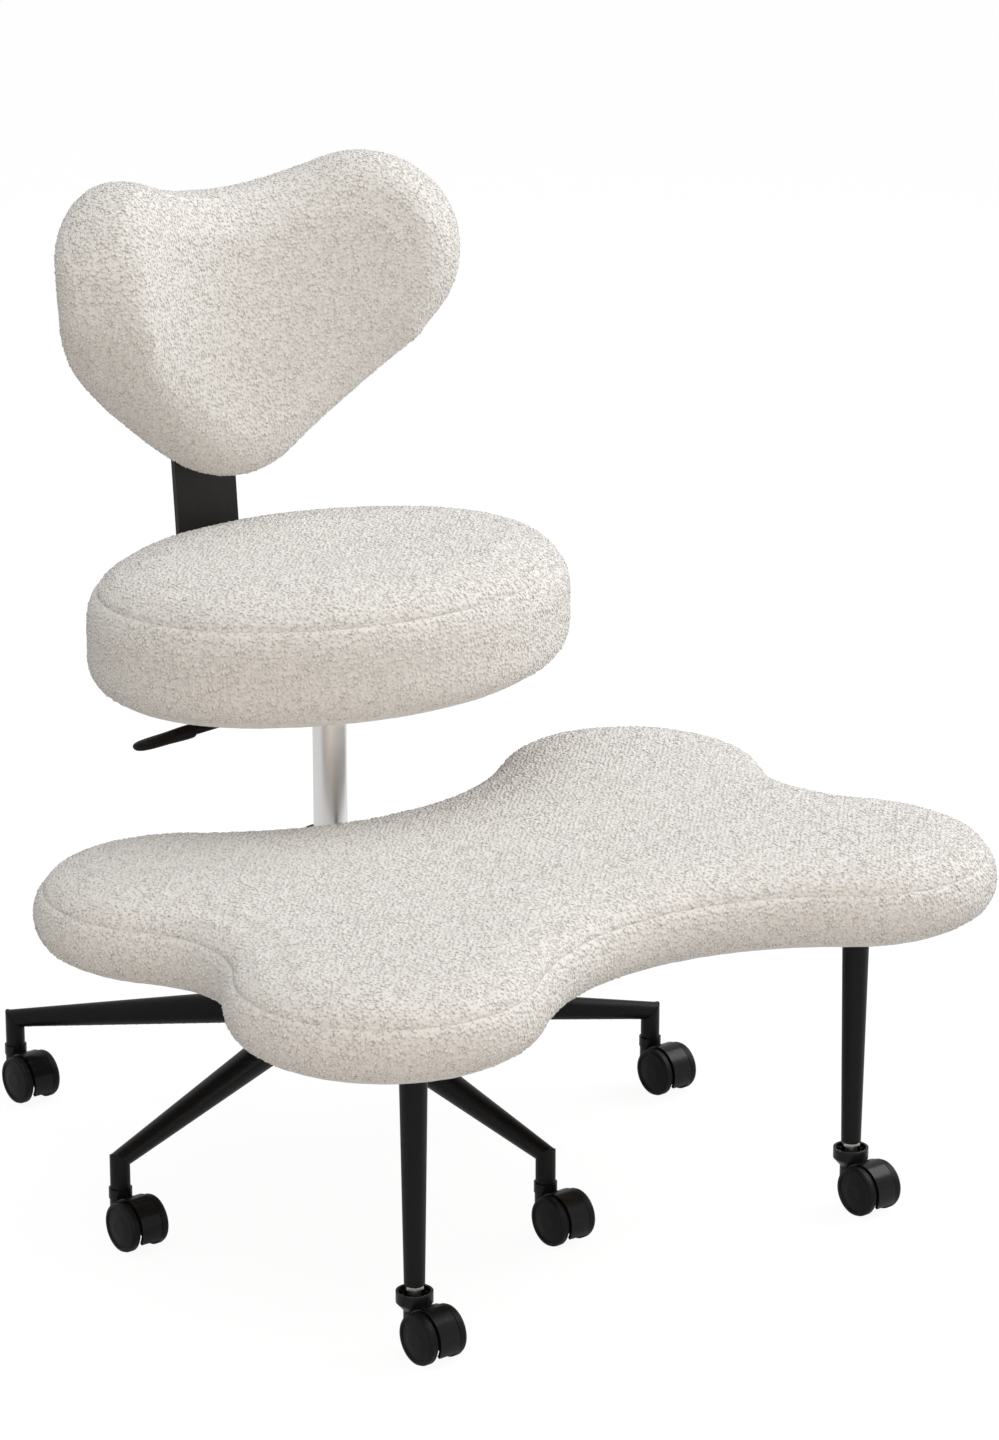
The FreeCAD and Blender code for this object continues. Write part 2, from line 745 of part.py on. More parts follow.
def foot_wire(inset, height):
    rear = (size("foot_rear_x"), size("foot_rear_y"))
    front = (size("foot_front_x"), size("foot_front_y"))
    rear_lobe = size("foot_rear_lobe")
    front_lobe = size("foot_front_lobe")
    side = size("foot_side_arc")
    rear_waist = waist_radius(rear[0], size("foot_rear_waist") - rear[1], rear_lobe)
    front_waist = waist_radius(front[0], front[1] - size("foot_front_waist"), front_lobe)
    rear_centre = (0, size("foot_rear_waist") + rear_waist)
    front_centre = (0, size("foot_front_waist") - front_waist)
    side_centre = bridge_centre(front, side + front_lobe, rear, side + rear_lobe)
    right_half = [
        (front, front_lobe - inset, bearing(front, front_centre), bearing(front, side_centre)),
        (side_centre, side + inset, bearing(side_centre, front) + 2 * math.pi, bearing(side_centre, rear)),
        (rear, rear_lobe - inset, bearing(rear, side_centre), bearing(rear, rear_centre)),
    ]
    waist = bearing(rear_centre, rear)
    edges = [arc_through(centre, radius, first, last, height) for centre, radius, first, last in right_half]
    edges.append(arc_through(rear_centre, rear_waist + inset, waist, -math.pi - waist, height))
    for centre, radius, first, last in reversed(right_half):
        mirrored = (-centre[0], centre[1])
        edges.append(arc_through(mirrored, radius, math.pi - last, math.pi - first, height))
    waist = bearing(front_centre, front)
    edges.append(arc_through(front_centre, front_waist + inset, math.pi - waist, waist, height))
    return Part.Wire(edges)


# The inset and height of a cushion's edge, from its underside to the flat middle of its top.
def cushion_levels(name, draw_in):
    low = size(name + "_bottom")
    high = size(name + "_top")
    low_round = size(name + "_low_round")
    high_round = size(name + "_high_round")
    levels = []
    for angle in (0, 35, 65, 90):
        turn = math.radians(angle)
        levels.append((low_round * (1 - math.sin(turn)), low + low_round * (1 - math.cos(turn))))
    if draw_in:
        levels.append((draw_in, (low + low_round + high - high_round) / 2))
    for angle in (0, 25, 55, 80):
        turn = math.radians(angle)
        levels.append((high_round * (1 - math.cos(turn)), high - high_round * (1 - math.sin(turn))))
    levels.append((size(name + "_crown_inset"), high + size(name + "_crown")))
    return levels


def cushion(label, name, wire_at, draw_in, blank):
    sections = []
    for number, (inset, height) in enumerate(cushion_levels(name, draw_in)):
        section = doc.addObject("Part::Feature", "%s_section_%d" % (label, number))
        section.Shape = wire_at(inset, height)
        sections.append(section)
    skin = doc.addObject("Part::Loft", label + "_skin")
    skin.Sections = sections
    skin.Solid = True
    skin.Ruled = True
    return keep(cut(label, skin, blank), label)


# A board let into the underside of its cushion.
def board_blank(label, name, wire_at, inset):
    face = doc.addObject("Part::Feature", label + "_face")
    face.Shape = Part.Face(wire_at(size(inset), size(name + "_bottom")))
    blank = doc.addObject("Part::Extrusion", label + "_blank")
    blank.Base = face
    blank.DirMode = "Custom"
    blank.Dir = AXIS_Z
    bind(blank, LengthFwd="board_thick")
    return blank


foot_blank = board_blank("footrest_board", "foot", foot_wire, "foot_board_inset")
cushion("footrest_cushion", "foot", foot_wire, 0, foot_blank)
keep(cut("footrest_board", foot_blank, foot_bolt_holes("footrest_board")), "footrest_board")

seat_blank = board_blank("seat_board", "seat", seat_wire, "seat_board_inset")
cushion("seat_cushion", "seat", seat_wire, size("seat_draw_in"), seat_blank)

# Bolts under the seat: four through the mechanism's plate and two through the back bar.
plate_z = "seat_bottom - plate_thick"
bar_z = "seat_bottom - bar_thick"
seat_bolt_spots = []
for sign_x in (-1, 1):
    for sign_y in (-1, 1):
        spot = "%d * ( plate_side / 2 - plate_corner )"
        seat_bolt_spots.append((spot % sign_x, spot % sign_y, plate_z))
    seat_bolt_spots.append(("%d * bar_width / 4" % sign_x, "bar_root_y + bar_bolt_inset", bar_z))


def seat_bolt_holes(name):
    holes = []
    for number, (x, y, z) in enumerate(seat_bolt_spots):
        holes.append(bolt_hole("%s_hole_%d" % (name, number), x, y, z))
    return group(name + "_holes", holes)


keep(cut("seat_board", seat_blank, seat_bolt_holes("seat_board")), "seat_board")
seat_bolts = []
for number, (x, y, z) in enumerate(seat_bolt_spots):
    seat_bolts.append(bolt("seat_bolt_%d" % number, x, y, z))
keep(group("seat_bolts", seat_bolts), "seat_bolts")

# Seat mechanism: a plate, a pan with the tapered socket for the gas lift, and two ears that
# hold the lever's pivot pin. The lever comes in through a slot in the pan's side.
plate = block("mechanism_plate", "plate_side", "plate_side", "plate_thick", z=plate_z)
plate_round = doc.addObject("Part::Fillet", "mechanism_plate_round")
doc.recompute()
plate_round.Base = plate
corner_edges = []
for number, edge in enumerate(plate.Shape.Edges, start=1):
    if abs(edge.tangentAt(edge.FirstParameter).z) > 0.99:
        corner_edges.append((number, size("plate_corner"), size("plate_corner")))
plate_round.Edges = corner_edges
pan_height = "( seat_bottom - plate_thick - pan_bottom )"
pan_shell = block("mechanism_pan_shell", "pan_width", "pan_depth", pan_height, z="pan_bottom")
pan_space = block("mechanism_pan_space", "pan_width - pan_wall * 2", "pan_depth - pan_wall * 2", pan_height,
                  z="pan_bottom + pan_wall")
pan = cut("mechanism_pan", pan_shell, pan_space)
socket = cylinder("mechanism_socket", "socket_radius", "lift_top - socket_bottom", z="socket_bottom")
ears = []
for sign in (-1, 1):
    ear_y = "lever_y + %d * ( lever_rod + ear_gap + ear_thick )" % sign
    ears.append(block("mechanism_ear_%d" % sign, "ear_length", "ear_thick", "ear_drop", "lever_pivot_x",
                      ear_y, "seat_bottom - plate_thick - ear_drop"))
lift_seat = cone("mechanism_lift_seat", "lift_radius", "lift_neck_radius", "lift_top - lift_taper_bottom",
                 "lift_taper_bottom")
pivot_bore = cylinder("mechanism_pivot_bore", "lever_pivot_pin + running_gap", "pivot_bore_half * 2",
                      "lever_pivot_x", "lever_y + pivot_bore_half", "lever_inner_z")
turn_about(pivot_bore, AXIS_X, 90)
slot = block("mechanism_slot", "pan_wall * 4", "lever_rod * 2 + slot_room", pan_height + " - pan_wall",
             "0 - pan_width / 2", "lever_y", "pan_bottom + pan_wall")
mechanism_solid = fuse("mechanism_solid", [plate_round, pan, socket] + ears)
mechanism_voids = fuse("mechanism_voids", [lift_seat, pivot_bore, slot])
mechanism = cut("mechanism_cut", mechanism_solid, mechanism_voids)
keep(cut("seat_mechanism", mechanism, seat_bolt_holes("mechanism")), "seat_mechanism")

# Release lever: a cranked rod with a cross pin. Its inner end stands over the gas lift's pin.
droop = math.radians(size("lever_droop"))
lever_y = size("lever_y")
rod_spots = [
    Vector(size("lever_inner_x"), lever_y, size("lever_inner_z")),
    Vector(size("lever_bend_x"), lever_y, size("lever_inner_z")),
    Vector(size("lever_elbow_x"), lever_y, size("lever_elbow_z")),
]
grip_heading = Vector(-math.cos(droop), 0, -math.sin(droop))
grip_run = size("lever_elbow_x - grip_start_x")
grip_root = rod_spots[2] + grip_heading * grip_run
rod_spots.append(grip_root + grip_heading * size("grip_bore_depth"))


# A path of straight runs joined by tangent arcs.
def rounded_path(spots, radius):
    edges = []
    last = spots[0]
    for before, corner, after in zip(spots, spots[1:], spots[2:]):
        arriving = (corner - before).normalize()
        leaving = (after - corner).normalize()
        half = arriving.getAngle(leaving) / 2
        start = corner - arriving * (radius * math.tan(half))
        finish = corner + leaving * (radius * math.tan(half))
        inward = (leaving - arriving).normalize()
        middle = corner + inward * (radius / math.cos(half) - radius)
        edges.append(Part.LineSegment(last, start).toShape())
        edges.append(Part.Arc(start, middle, finish).toShape())
        last = finish
    edges.append(Part.LineSegment(last, spots[-1]).toShape())
    return Part.Wire(edges)


lever_path = doc.addObject("Part::Feature", "lever_path")
lever_path.Shape = rounded_path(rod_spots, size("lever_bend_arc"))
lever_section = doc.addObject("Part::Circle", "lever_section")
bind(lever_section, Radius="lever_rod")
place(lever_section, "lever_inner_x", "lever_y", "lever_inner_z")
turn_about(lever_section, AXIS_Y, -90)
lever_rod = doc.addObject("Part::Sweep", "lever_rod_bar")
lever_rod.Sections = [lever_section]
lever_rod.Spine = (lever_path, [])
lever_rod.Solid = True
lever_rod.Frenet = True
pivot_pin = cylinder("lever_pivot", "lever_pivot_pin", "lever_pivot_half * 2", "lever_pivot_x",
                     "lever_y + lever_pivot_half", "lever_inner_z")
turn_about(pivot_pin, AXIS_X, 90)
keep(fuse("release_lever", [lever_rod, pivot_pin]), "release_lever")

# Grip: an oval socket that narrows and then spreads into a flat rounded paddle. Each section is
# its share of the length, half its width and half its height.
grip_sides = 20
grip_sections = []
for number, (share, half_width, half_height) in enumerate((
    (0.0, 6.6, 5.8),
    (0.2, 7.0, 5.8),
    (0.45, 6.8, 5.2),
    (0.72, 9.0, 4.2),
    (0.92, 7.4, 3.4),
    (1.0, 3.2, 2.0),
)):
    middle = grip_root + grip_heading * (share * size("grip_length"))
    upright = grip_heading.cross(AXIS_Y)
    spots = []
    for side in range(grip_sides + 1):
        turn = 2 * math.pi * side / grip_sides
        across = AXIS_Y * (half_width * math.cos(turn))
        spots.append(middle + across + upright * (half_height * math.sin(turn)))
    section = doc.addObject("Part::Feature", "grip_section_%d" % number)
    section.Shape = Part.makePolygon(spots)
    grip_sections.append(section)
grip_skin = doc.addObject("Part::Loft", "grip_skin")
grip_skin.Sections = grip_sections
grip_skin.Solid = True
grip_skin.Ruled = True
grip_bore = doc.addObject("Part::Cylinder", "grip_bore")
bind(grip_bore, Radius="lever_rod", Height="grip_bore_depth")
grip_bore.Placement = Placement(grip_root, Rotation(AXIS_Z, grip_heading))
keep(cut("lever_grip", grip_skin, grip_bore), "lever_grip")

# Backrest. It is drawn with its lower tip at the origin, Z along its height and Y to the rear,
# and then leans back. The pad is bent round a line in front of it.
back_turn = Rotation(AXIS_X, -size("back_recline"))
back_place = Placement(Vector(0, size("back_base_y"), size("back_base_z")), back_turn)
bend = size("back_bend")
lobe = (size("back_lobe_u"), size("back_lobe_v"))
lobe_radius = size("back_lobe")
tip_radius = size("back_tip")
tip = (0, tip_radius)
dip_radius = waist_radius(lobe[0], size("back_dip") - lobe[1], lobe_radius)
dip_centre = (0, size("back_dip") + dip_radius)
side_turn = math.asin((lobe_radius - tip_radius) / math.dist(lobe, tip))
side_normal = bearing(tip, lobe) - math.pi / 2 + side_turn
dip_end = dip_radius * math.cos(bearing(dip_centre, lobe))
side_start = tip_radius * math.cos(side_normal)
side_end = lobe[0] + lobe_radius * math.cos(side_normal)


# Lower and upper edge of the heart outline at a distance from its middle.
def heart_span(across):
    reach = min(1.0, abs(across - lobe[0]) / lobe_radius)
    lobe_rise = lobe_radius * math.sqrt(1 - reach * reach)
    if across < dip_end:
        upper = dip_centre[1] - math.sqrt(dip_radius ** 2 - across ** 2)
    else:
        upper = lobe[1] + lobe_rise
    if across < side_start:
        lower = tip[1] - math.sqrt(tip_radius ** 2 - across ** 2)
    elif across < side_end:
        slope = math.tan(side_normal + math.pi / 2)
        lower = tip[1] + tip_radius * math.sin(side_normal) + (across - side_start) * slope
    else:
        lower = lobe[1] - lobe_rise
    return lower, upper


# One upright slice of the pad, on the plane through the line that the pad is bent round.
def back_slice(across):
    side = abs(across)
    lower, upper = heart_span(side)
    full = size("back_thick") / 2
    edge = size("back_round")
    depth_in = min(edge, lobe[0] + lobe_radius - side)
    half = full - edge + math.sqrt(edge ** 2 - (edge - depth_in) ** 2)
    corner = min(edge, half * 0.85, (upper - lower) * 0.42)
    crown = size("back_crown") * half / full
    angle = across / bend

    def spot(depth, height):
        radius = bend + depth
        return Vector(radius * math.sin(angle), radius * math.cos(angle) - bend, height)

    def bend_at(depth_sign, height, height_sign):
        centre_depth = depth_sign * (half - corner)
        centre_height = height - height_sign * corner
        step = corner * math.sqrt(0.5)
        return (spot(depth_sign * half, centre_height),
                spot(centre_depth + depth_sign * step, centre_height + height_sign * step),
                spot(centre_depth, height))

    rear_low = bend_at(1, lower, -1)
    rear_high = bend_at(1, upper, 1)
    front_high = bend_at(-1, upper, 1)
    front_low = bend_at(-1, lower, -1)
    front_middle = spot(-half - crown, (lower + upper) / 2)
    return Part.Wire([
        Part.Arc(rear_low[2], rear_low[1], rear_low[0]).toShape(),
        Part.LineSegment(rear_low[0], rear_high[0]).toShape(),
        Part.Arc(rear_high[0], rear_high[1], rear_high[2]).toShape(),
        Part.LineSegment(rear_high[2], front_high[2]).toShape(),
        Part.Arc(front_high[2], front_high[1], front_high[0]).toShape(),
        Part.Arc(front_high[0], front_middle, front_low[0]).toShape(),
        Part.Arc(front_low[0], front_low[1], front_low[2]).toShape(),
        Part.LineSegment(front_low[2], rear_low[2]).toShape(),
    ])


back_reach = lobe[0] + lobe_radius
slice_places = [0, side_start / 2, side_start, lobe[0] * 0.8, lobe[0]]
for rim_distance in (62, 40, 22, 9, 2.5):
    slice_places.append(back_reach - rim_distance)
slice_sections = []
for across in [-spot for spot in reversed(slice_places[1:])] + slice_places:
    section = doc.addObject("Part::Feature", "back_slice")
    section.Shape = back_slice(across)
    slice_sections.append(section)
back_skin = doc.addObject("Part::Loft", "back_skin")
back_skin.Sections = slice_sections
back_skin.Solid = True
back_skin.Ruled = True

# The board is a bent plate let into the rear of the pad, with a flat land for the bar.
rear_radius = "( back_bend + back_thick / 2 + back_board_proud )"
board_height = "( back_board_high - back_board_low )"
board_outer = cylinder("back_board_outer", rear_radius, board_height, "0", "0 - back_bend", "back_board_low")
board_inner = cylinder("back_board_inner", rear_radius + " - back_board_thick", board_height, "0",
                       "0 - back_bend", "back_board_low")
board_limit = block("back_board_limit", "back_board_half_u * 2", "back_thick", board_height, "0",
                    "back_thick / 2", "back_board_low")
board_plate = doc.addObject("Part::MultiCommon", "back_board_plate")
board_plate.Shapes = [cut("back_board_bent", board_outer, board_inner), board_limit]
board_land = block("back_board_land", "back_land_half * 2", "bar_offset - back_thick / 2 + back_land_sink",
                   "back_land_high - back_land_low", "0",
                   "( bar_offset + back_thick / 2 - back_land_sink ) / 2", "back_land_low")
board_body = fuse("back_board_body", [board_plate, board_land])
pad_cut = cut("back_pad", back_skin, board_body)
pad_cut.Placement = back_place
keep(pad_cut, "back_cushion")

back_bolt_spots = []
for sign in (-1, 1):
    for height in ("back_land_low + back_bolt_inset", "back_land_high - back_bolt_inset"):
        back_bolt_spots.append(("%d * bar_width / 4" % sign, "bar_offset + bar_thick", height))


# Bolts and holes that run forward from the rear of the bar.
def back_bolt_items(name, maker):
    items = []
    for number, (x, y, z) in enumerate(back_bolt_spots):
        items.append(turn_about(maker("%s_%d" % (name, number), x, y, z), AXIS_X, 90))
    return group(name + "_set", items)


board_holed = cut("back_board_holed", board_body, back_bolt_items("back_board_hole", bolt_hole))
board_holed.Placement = back_place
keep(board_holed, "back_board")
back_bolts = back_bolt_items("back_bolt", bolt)
back_bolts.Placement = back_place
keep(back_bolts, "back_bolts")

# Back bar: flat steel, level under the seat and then bent up to lean with the backrest.
lean = math.radians(size("back_recline"))
upward = Vector(0, math.sin(lean), math.cos(lean))
rearward = Vector(0, math.cos(lean), -math.sin(lean))
bar_top = back_place.multVec(Vector(0, size("bar_offset"), size("bar_head_v")))
seat_under = size("seat_bottom")
bar_corner = bar_top - upward * ((bar_top.z - seat_under) / upward.z)
bar_root = Vector(0, size("bar_root_y"), seat_under)
thick = size("bar_thick")
outer_corner = bar_corner - upward * (thick / upward.z) + Vector(0, thick / math.cos(lean), 0)
inner_path = rounded_path([bar_root, bar_corner, bar_top], size("bar_bend"))
outer_path = rounded_path([bar_root - AXIS_Z * thick, outer_corner, bar_top + rearward * thick],
                          size("bar_bend") + thick)
bar_ends = [
    Part.LineSegment(inner_path.Vertexes[-1].Point, outer_path.Vertexes[-1].Point).toShape(),
    Part.LineSegment(inner_path.Vertexes[0].Point, outer_path.Vertexes[0].Point).toShape(),
]
bar_side = doc.addObject("Part::Feature", "bar_side")
bar_side.Shape = Part.Face(Part.Wire(Part.__sortEdges__(inner_path.Edges + outer_path.Edges + bar_ends)))
bar_strip = doc.addObject("Part::Extrusion", "bar_strip")
bar_strip.Base = bar_side
bar_strip.DirMode = "Custom"
bar_strip.Dir = AXIS_X
bar_strip.Symmetric = True
bind(bar_strip, LengthFwd="bar_width")
doc.recompute()
head_edges = []
for number, edge in enumerate(bar_strip.Shape.Edges, start=1):
    middle = edge.CenterOfMass
    across_bar = abs(abs(middle.x) - size("bar_width / 2")) < 0.1
    if across_bar and (middle - bar_top).dot(upward) > -0.1 and edge.Length < thick + 1:
        head_edges.append((number, size("bar_head_corner"), size("bar_head_corner")))
bar_round = doc.addObject("Part::Fillet", "bar_round")
bar_round.Base = bar_strip
bar_round.Edges = head_edges
bar_back_holes = back_bolt_items("bar_back_hole", bolt_hole)
bar_back_holes.Placement = back_place
bar_holes = group("bar_holes", [bar_back_holes, seat_bolt_holes("bar")])
keep(cut("back_bar", bar_round, bar_holes), "back_bar")

doc.recompute()

# Nothing is written unless every object was built and every piece is a sound solid.
for item in doc.Objects:
    if "Invalid" in item.State or "Error" in item.State:
        raise RuntimeError("%s did not build: %s" % (item.Name, item.State))
for item in pieces:
    if item.Shape.isNull() or not item.Shape.isValid() or not item.Shape.Solids:
        raise RuntimeError("%s is not a sound solid" % item.Label)

os.makedirs("parts", exist_ok=True)
for item in pieces:
    item.Shape.exportStep("parts/%s.step" % item.Label)
print("%d pieces written" % len(pieces))
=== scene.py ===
import bpy
import bmesh
import json
import math
from mathutils import Euler, Matrix, Vector, kdtree, noise
from mathutils.bvhtree import BVHTree


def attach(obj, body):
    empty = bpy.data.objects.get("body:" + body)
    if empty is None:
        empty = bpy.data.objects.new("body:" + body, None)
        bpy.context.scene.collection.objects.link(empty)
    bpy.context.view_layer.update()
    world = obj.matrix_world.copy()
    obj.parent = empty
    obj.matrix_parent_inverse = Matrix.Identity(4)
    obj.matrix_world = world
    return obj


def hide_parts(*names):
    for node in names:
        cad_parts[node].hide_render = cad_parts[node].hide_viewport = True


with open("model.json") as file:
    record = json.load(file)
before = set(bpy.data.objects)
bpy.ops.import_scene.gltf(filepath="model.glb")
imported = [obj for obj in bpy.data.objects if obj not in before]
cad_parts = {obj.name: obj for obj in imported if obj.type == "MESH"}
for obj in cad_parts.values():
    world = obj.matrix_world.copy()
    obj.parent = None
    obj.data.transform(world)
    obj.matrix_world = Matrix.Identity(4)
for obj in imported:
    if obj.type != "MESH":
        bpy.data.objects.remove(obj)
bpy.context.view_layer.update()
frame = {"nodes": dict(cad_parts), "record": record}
scene = bpy.context.scene
print("frame loaded:", len(frame["nodes"]), "nodes")


# camera at the photograph's angle, for a 999 x 1440 picture
cameraSet = {"place": (-2.1519, -2.8628, 1.4443), "aim": (0.0998, -0.0973, 0.3593), "lens": 114.55,
             "sensor": 36.0}
eye = bpy.data.objects.new("camera", bpy.data.cameras.new("camera"))
eye.data.lens = cameraSet["lens"]
eye.data.sensor_width = cameraSet["sensor"]
eye.location = cameraSet["place"]
eye.rotation_euler = (Vector(cameraSet["aim"]) - eye.location).to_track_quat("-Z", "Y").to_euler()
scene.collection.objects.link(eye)
scene.camera = eye
scene.view_settings.view_transform = "Standard"
print("camera set")


# a shader value that takes part in Python sums
class Value:
    def __init__(self, tree, socket):
        self.tree = tree
        self.socket = socket

    def math(self, operation, *items):
        made = self.tree.nodes.new("ShaderNodeMath")
        made.operation = operation
        for place, item in enumerate(items):
            feed(self.tree, made.inputs[place], item)
        return Value(self.tree, made.outputs[0])

    def __add__(self, other):
        return self.math("ADD", self, other)

    def __sub__(self, other):
        return self.math("SUBTRACT", self, other)

    def __mul__(self, other):
        return self.math("MULTIPLY", self, other)

    def __truediv__(self, other):
        return self.math("DIVIDE", self, other)

    def __radd__(self, other):
        return self.math("ADD", other, self)

    def __rsub__(self, other):
        return self.math("SUBTRACT", other, self)


def feed(tree, socket, item):
    if isinstance(item, Value):
        tree.links.new(item.socket, socket)
    elif isinstance(item, bpy.types.NodeSocket):
        tree.links.new(item, socket)
    else:
        socket.default_value = item


# one material and its nodes
class Finish:
    def __init__(self, name, shader="ShaderNodeBsdfPrincipled"):
        self.material = bpy.data.materials.new(name)
        self.material.use_nodes = True
        self.tree = self.material.node_tree
        self.tree.nodes.clear()
        self.out = self.tree.nodes.new("ShaderNodeOutputMaterial")
        self.shader = self.tree.nodes.new(shader)
        self.tree.links.new(self.shader.outputs[0], self.out.inputs["Surface"])
        self.place = self.node("ShaderNodeTexCoord").outputs["Object"]

    # any node: its type, its settings, then the values or links of its sockets
    def node(self, kind, settings=None, sockets=None):
        made = self.tree.nodes.new(kind)
        for key, item in (settings or {}).items():
            if key == "stops":
                for stop, (spot, tone) in zip(made.color_ramp.elements, item):
                    stop.position = spot
                    stop.color = (tone, tone, tone, 1)
            else:
                setattr(made, key, item)
        for key, item in (sockets or {}).items():
            feed(self.tree, made.inputs[key], item)
        return made

    def value(self, node, key=0):
        return Value(self.tree, node.outputs[key])

    def noise(self, scale, detail=2.0, roughness=0.5):
        made = self.node("ShaderNodeTexNoise", None,
                         {"Vector": self.place, "Scale": scale, "Detail": detail, "Roughness": roughness})
        return self.value(made, "Fac")

    # noise drawn out along one or more axes
    def grain(self, stretch, **sockets):
        drawn = self.node("ShaderNodeMapping", None, {"Vector": self.place, "Scale": stretch})
        made = self.node("ShaderNodeTexNoise", None, {"Vector": drawn.outputs[0], **sockets})
        return self.value(made, "Fac")

    def cells(self, scale, smooth):
        made = self.node("ShaderNodeTexVoronoi", {"feature": "SMOOTH_F1"},
                         {"Vector": self.place, "Scale": scale, "Smoothness": smooth})
        return self.value(made, "Distance")

    def ramp(self, item, *stops):
        made = self.node("ShaderNodeValToRGB", {"stops": stops}, {"Fac": item})
        return self.value(made, "Color")

    def mix(self, amount, low, high):
        made = self.node("ShaderNodeMix", {"data_type": "RGBA"}, {0: amount})
        for key, item in ((6, low), (7, high)):
            feed(self.tree, made.inputs[key], (*item, 1) if isinstance(item, tuple) else item)
        return Value(self.tree, made.outputs[2])

    def bump(self, height, depth, strength=1.0, under=None):
        sockets = {"Height": height, "Distance": depth, "Strength": strength}
        if under is not None:
            sockets["Normal"] = under
        return self.value(self.node("ShaderNodeBump", None, sockets), "Normal")

    def set(self, **sockets):
        for key, item in sockets.items():
            feed(self.tree, self.shader.inputs[key.replace("_", " ")], item)
        return self.material


# looped off-white pile with random specks and patches; painted shade darkens the creases between curls, and
# the seam colour paints shade along the sewn seams
boucleSet = {"light": (0.90, 0.885, 0.865), "dark": (0.70, 0.675, 0.64), "seam": (0.38, 0.35, 0.32),
             "curl": 330.0, "curlSmooth": 0.3, "fibre": 1500.0, "patch": 14.0, "speck": 520.0,
             "speckSpan": (0.36, 0.64), "creaseSpan": (0.15, 0.75), "creaseCurl": 0.9, "creaseFibre": 0.35,
             "creaseShift": 0.1, "paintedCreaseShade": 0.2, "darkSpeck": 0.5, "darkPatch": 0.1, "seamReach": 8.0,
             "seamShadeWidth": 1.3, "seamShare": 0.75, "fibreDepth": 0.0010, "curlDepth": 0.0018, "bump": 0.4,
             "rough": 0.95, "roughFibre": 0.08, "sheen": 0.12, "sheenRough": 0.5, "gloss": 0.15}


def boucleLook(name, paintSeamShade):
    look = Finish(name)
    use = boucleSet
    curls = look.cells(use["curl"], use["curlSmooth"])
    fibres = look.noise(use["fibre"], 3.0, 0.6)
    patches = look.noise(use["patch"])
    specks = look.ramp(look.noise(use["speck"]), *zip(use["speckSpan"], (0.0, 1.0)))
    # painted shade: the gaps between the raised curls, where shade falls, are mixed towards the dark colour
    crease = curls * use["creaseCurl"] + fibres * use["creaseFibre"] - use["creaseShift"]
    creaseShadeMask = look.ramp(crease, *zip(use["creaseSpan"], (0.0, 1.0)))
    # the darkening sums painted crease shade with random specks and patches of tone
    dark = creaseShadeMask * use["paintedCreaseShade"] + specks * use["darkSpeck"] + patches * use["darkPatch"]
    tone = look.mix(dark, use["light"], use["dark"])
    # painted shade: near the sewn seams the cloth colour is mixed towards the seam colour, standing in for
    # the shade in the seam crease
    if paintSeamShade:
        gap = look.value(look.node("ShaderNodeAttribute", {"attribute_name": "seamGap"}), "Fac")
        line = look.ramp(gap / use["seamReach"], (0.0, 1.0), (use["seamShadeWidth"] / use["seamReach"], 0.0))
        tone = look.mix(line * use["seamShare"], tone, use["seam"])
    rough = look.bump(fibres, use["fibreDepth"], use["bump"])
    normal = look.bump(1 - curls, use["curlDepth"], use["bump"], rough)
    return look.set(Base_Color=tone, Roughness=use["rough"] - fibres * use["roughFibre"], Normal=normal,
                    Sheen_Weight=use["sheen"], Sheen_Roughness=use["sheenRough"],
                    Specular_IOR_Level=use["gloss"])


boucle = boucleLook("boucle_cloth", True)
boucleCurl = boucleLook("boucle_curls", False)


# dark coats and plastics: a fine orange-peel skin with a faint haze
coatSet = {"haze": 9.0, "hazeTint": 1.5, "hazeRough": 0.1, "bump": 0.35}


def coatLook(name, tone, rough, grain, depth, gloss):
    look = Finish(name)
    skin = look.noise(grain)
    haze = look.noise(coatSet["haze"], 3.0, 0.6)
    colour = look.mix(haze, tone, tuple(part * coatSet["hazeTint"] for part in tone))
    spread = coatSet["hazeRough"]
    return look.set(Base_Color=colour, Roughness=rough - spread / 2 + haze * spread,
                    Normal=look.bump(skin, depth, coatSet["bump"]), Specular_IOR_Level=gloss)


blackSteel = coatLook("black_powder_coat", (0.006, 0.006, 0.0065), 0.34, 900.0, 0.0004, 0.16)
# the back bar: the same black powder coat made lighter and warmer, a painted highlight standing in for the
# light the bar catches
barSteelPaintedLight = coatLook("bar_powder_coat", (0.017, 0.0155, 0.014), 0.34, 900.0, 0.0004, 0.28)
hoodPlastic = coatLook("caster_hood_plastic", (0.006, 0.006, 0.0065), 0.22, 500.0, 0.0002, 0.22)
wheelPlastic = coatLook("caster_wheel_nylon", (0.006, 0.006, 0.0065), 0.40, 1400.0, 0.0004, 0.14)
gripPlastic = coatLook("grained_black_plastic", (0.008, 0.007, 0.0065), 0.46, 1800.0, 0.0008, 0.16)
boltBlack = coatLook("black_oxide", (0.012, 0.012, 0.013), 0.42, 1200.0, 0.0003, 0.3)


# bright metals: faint wear and fine drawn lines
metalSet = {"wear": 60.0, "wearShare": 0.3, "wearTint": 0.85, "line": 40.0, "lineRough": 0.6,
            "lineDepth": 0.0001, "bump": 0.05}


def metalLook(name, tone, rough, streak):
    look = Finish(name)
    wear = look.noise(metalSet["wear"], 4.0, 0.6)
    lines = look.grain(streak, Scale=metalSet["line"], Detail=3.0)
    worn = tuple(part * metalSet["wearTint"] for part in tone)
    return look.set(Base_Color=look.mix(wear * metalSet["wearShare"], tone, worn), Metallic=1.0,
                    Roughness=rough + lines * rough * metalSet["lineRough"],
                    Normal=look.bump(lines, metalSet["lineDepth"], metalSet["bump"]))


chrome = metalLook("polished_chrome", (1.0, 0.985, 0.97), 0.26, (60.0, 60.0, 1.0))
zinc = metalLook("zinc_plate", (0.66, 0.65, 0.62), 0.24, (40.0, 40.0, 4.0))


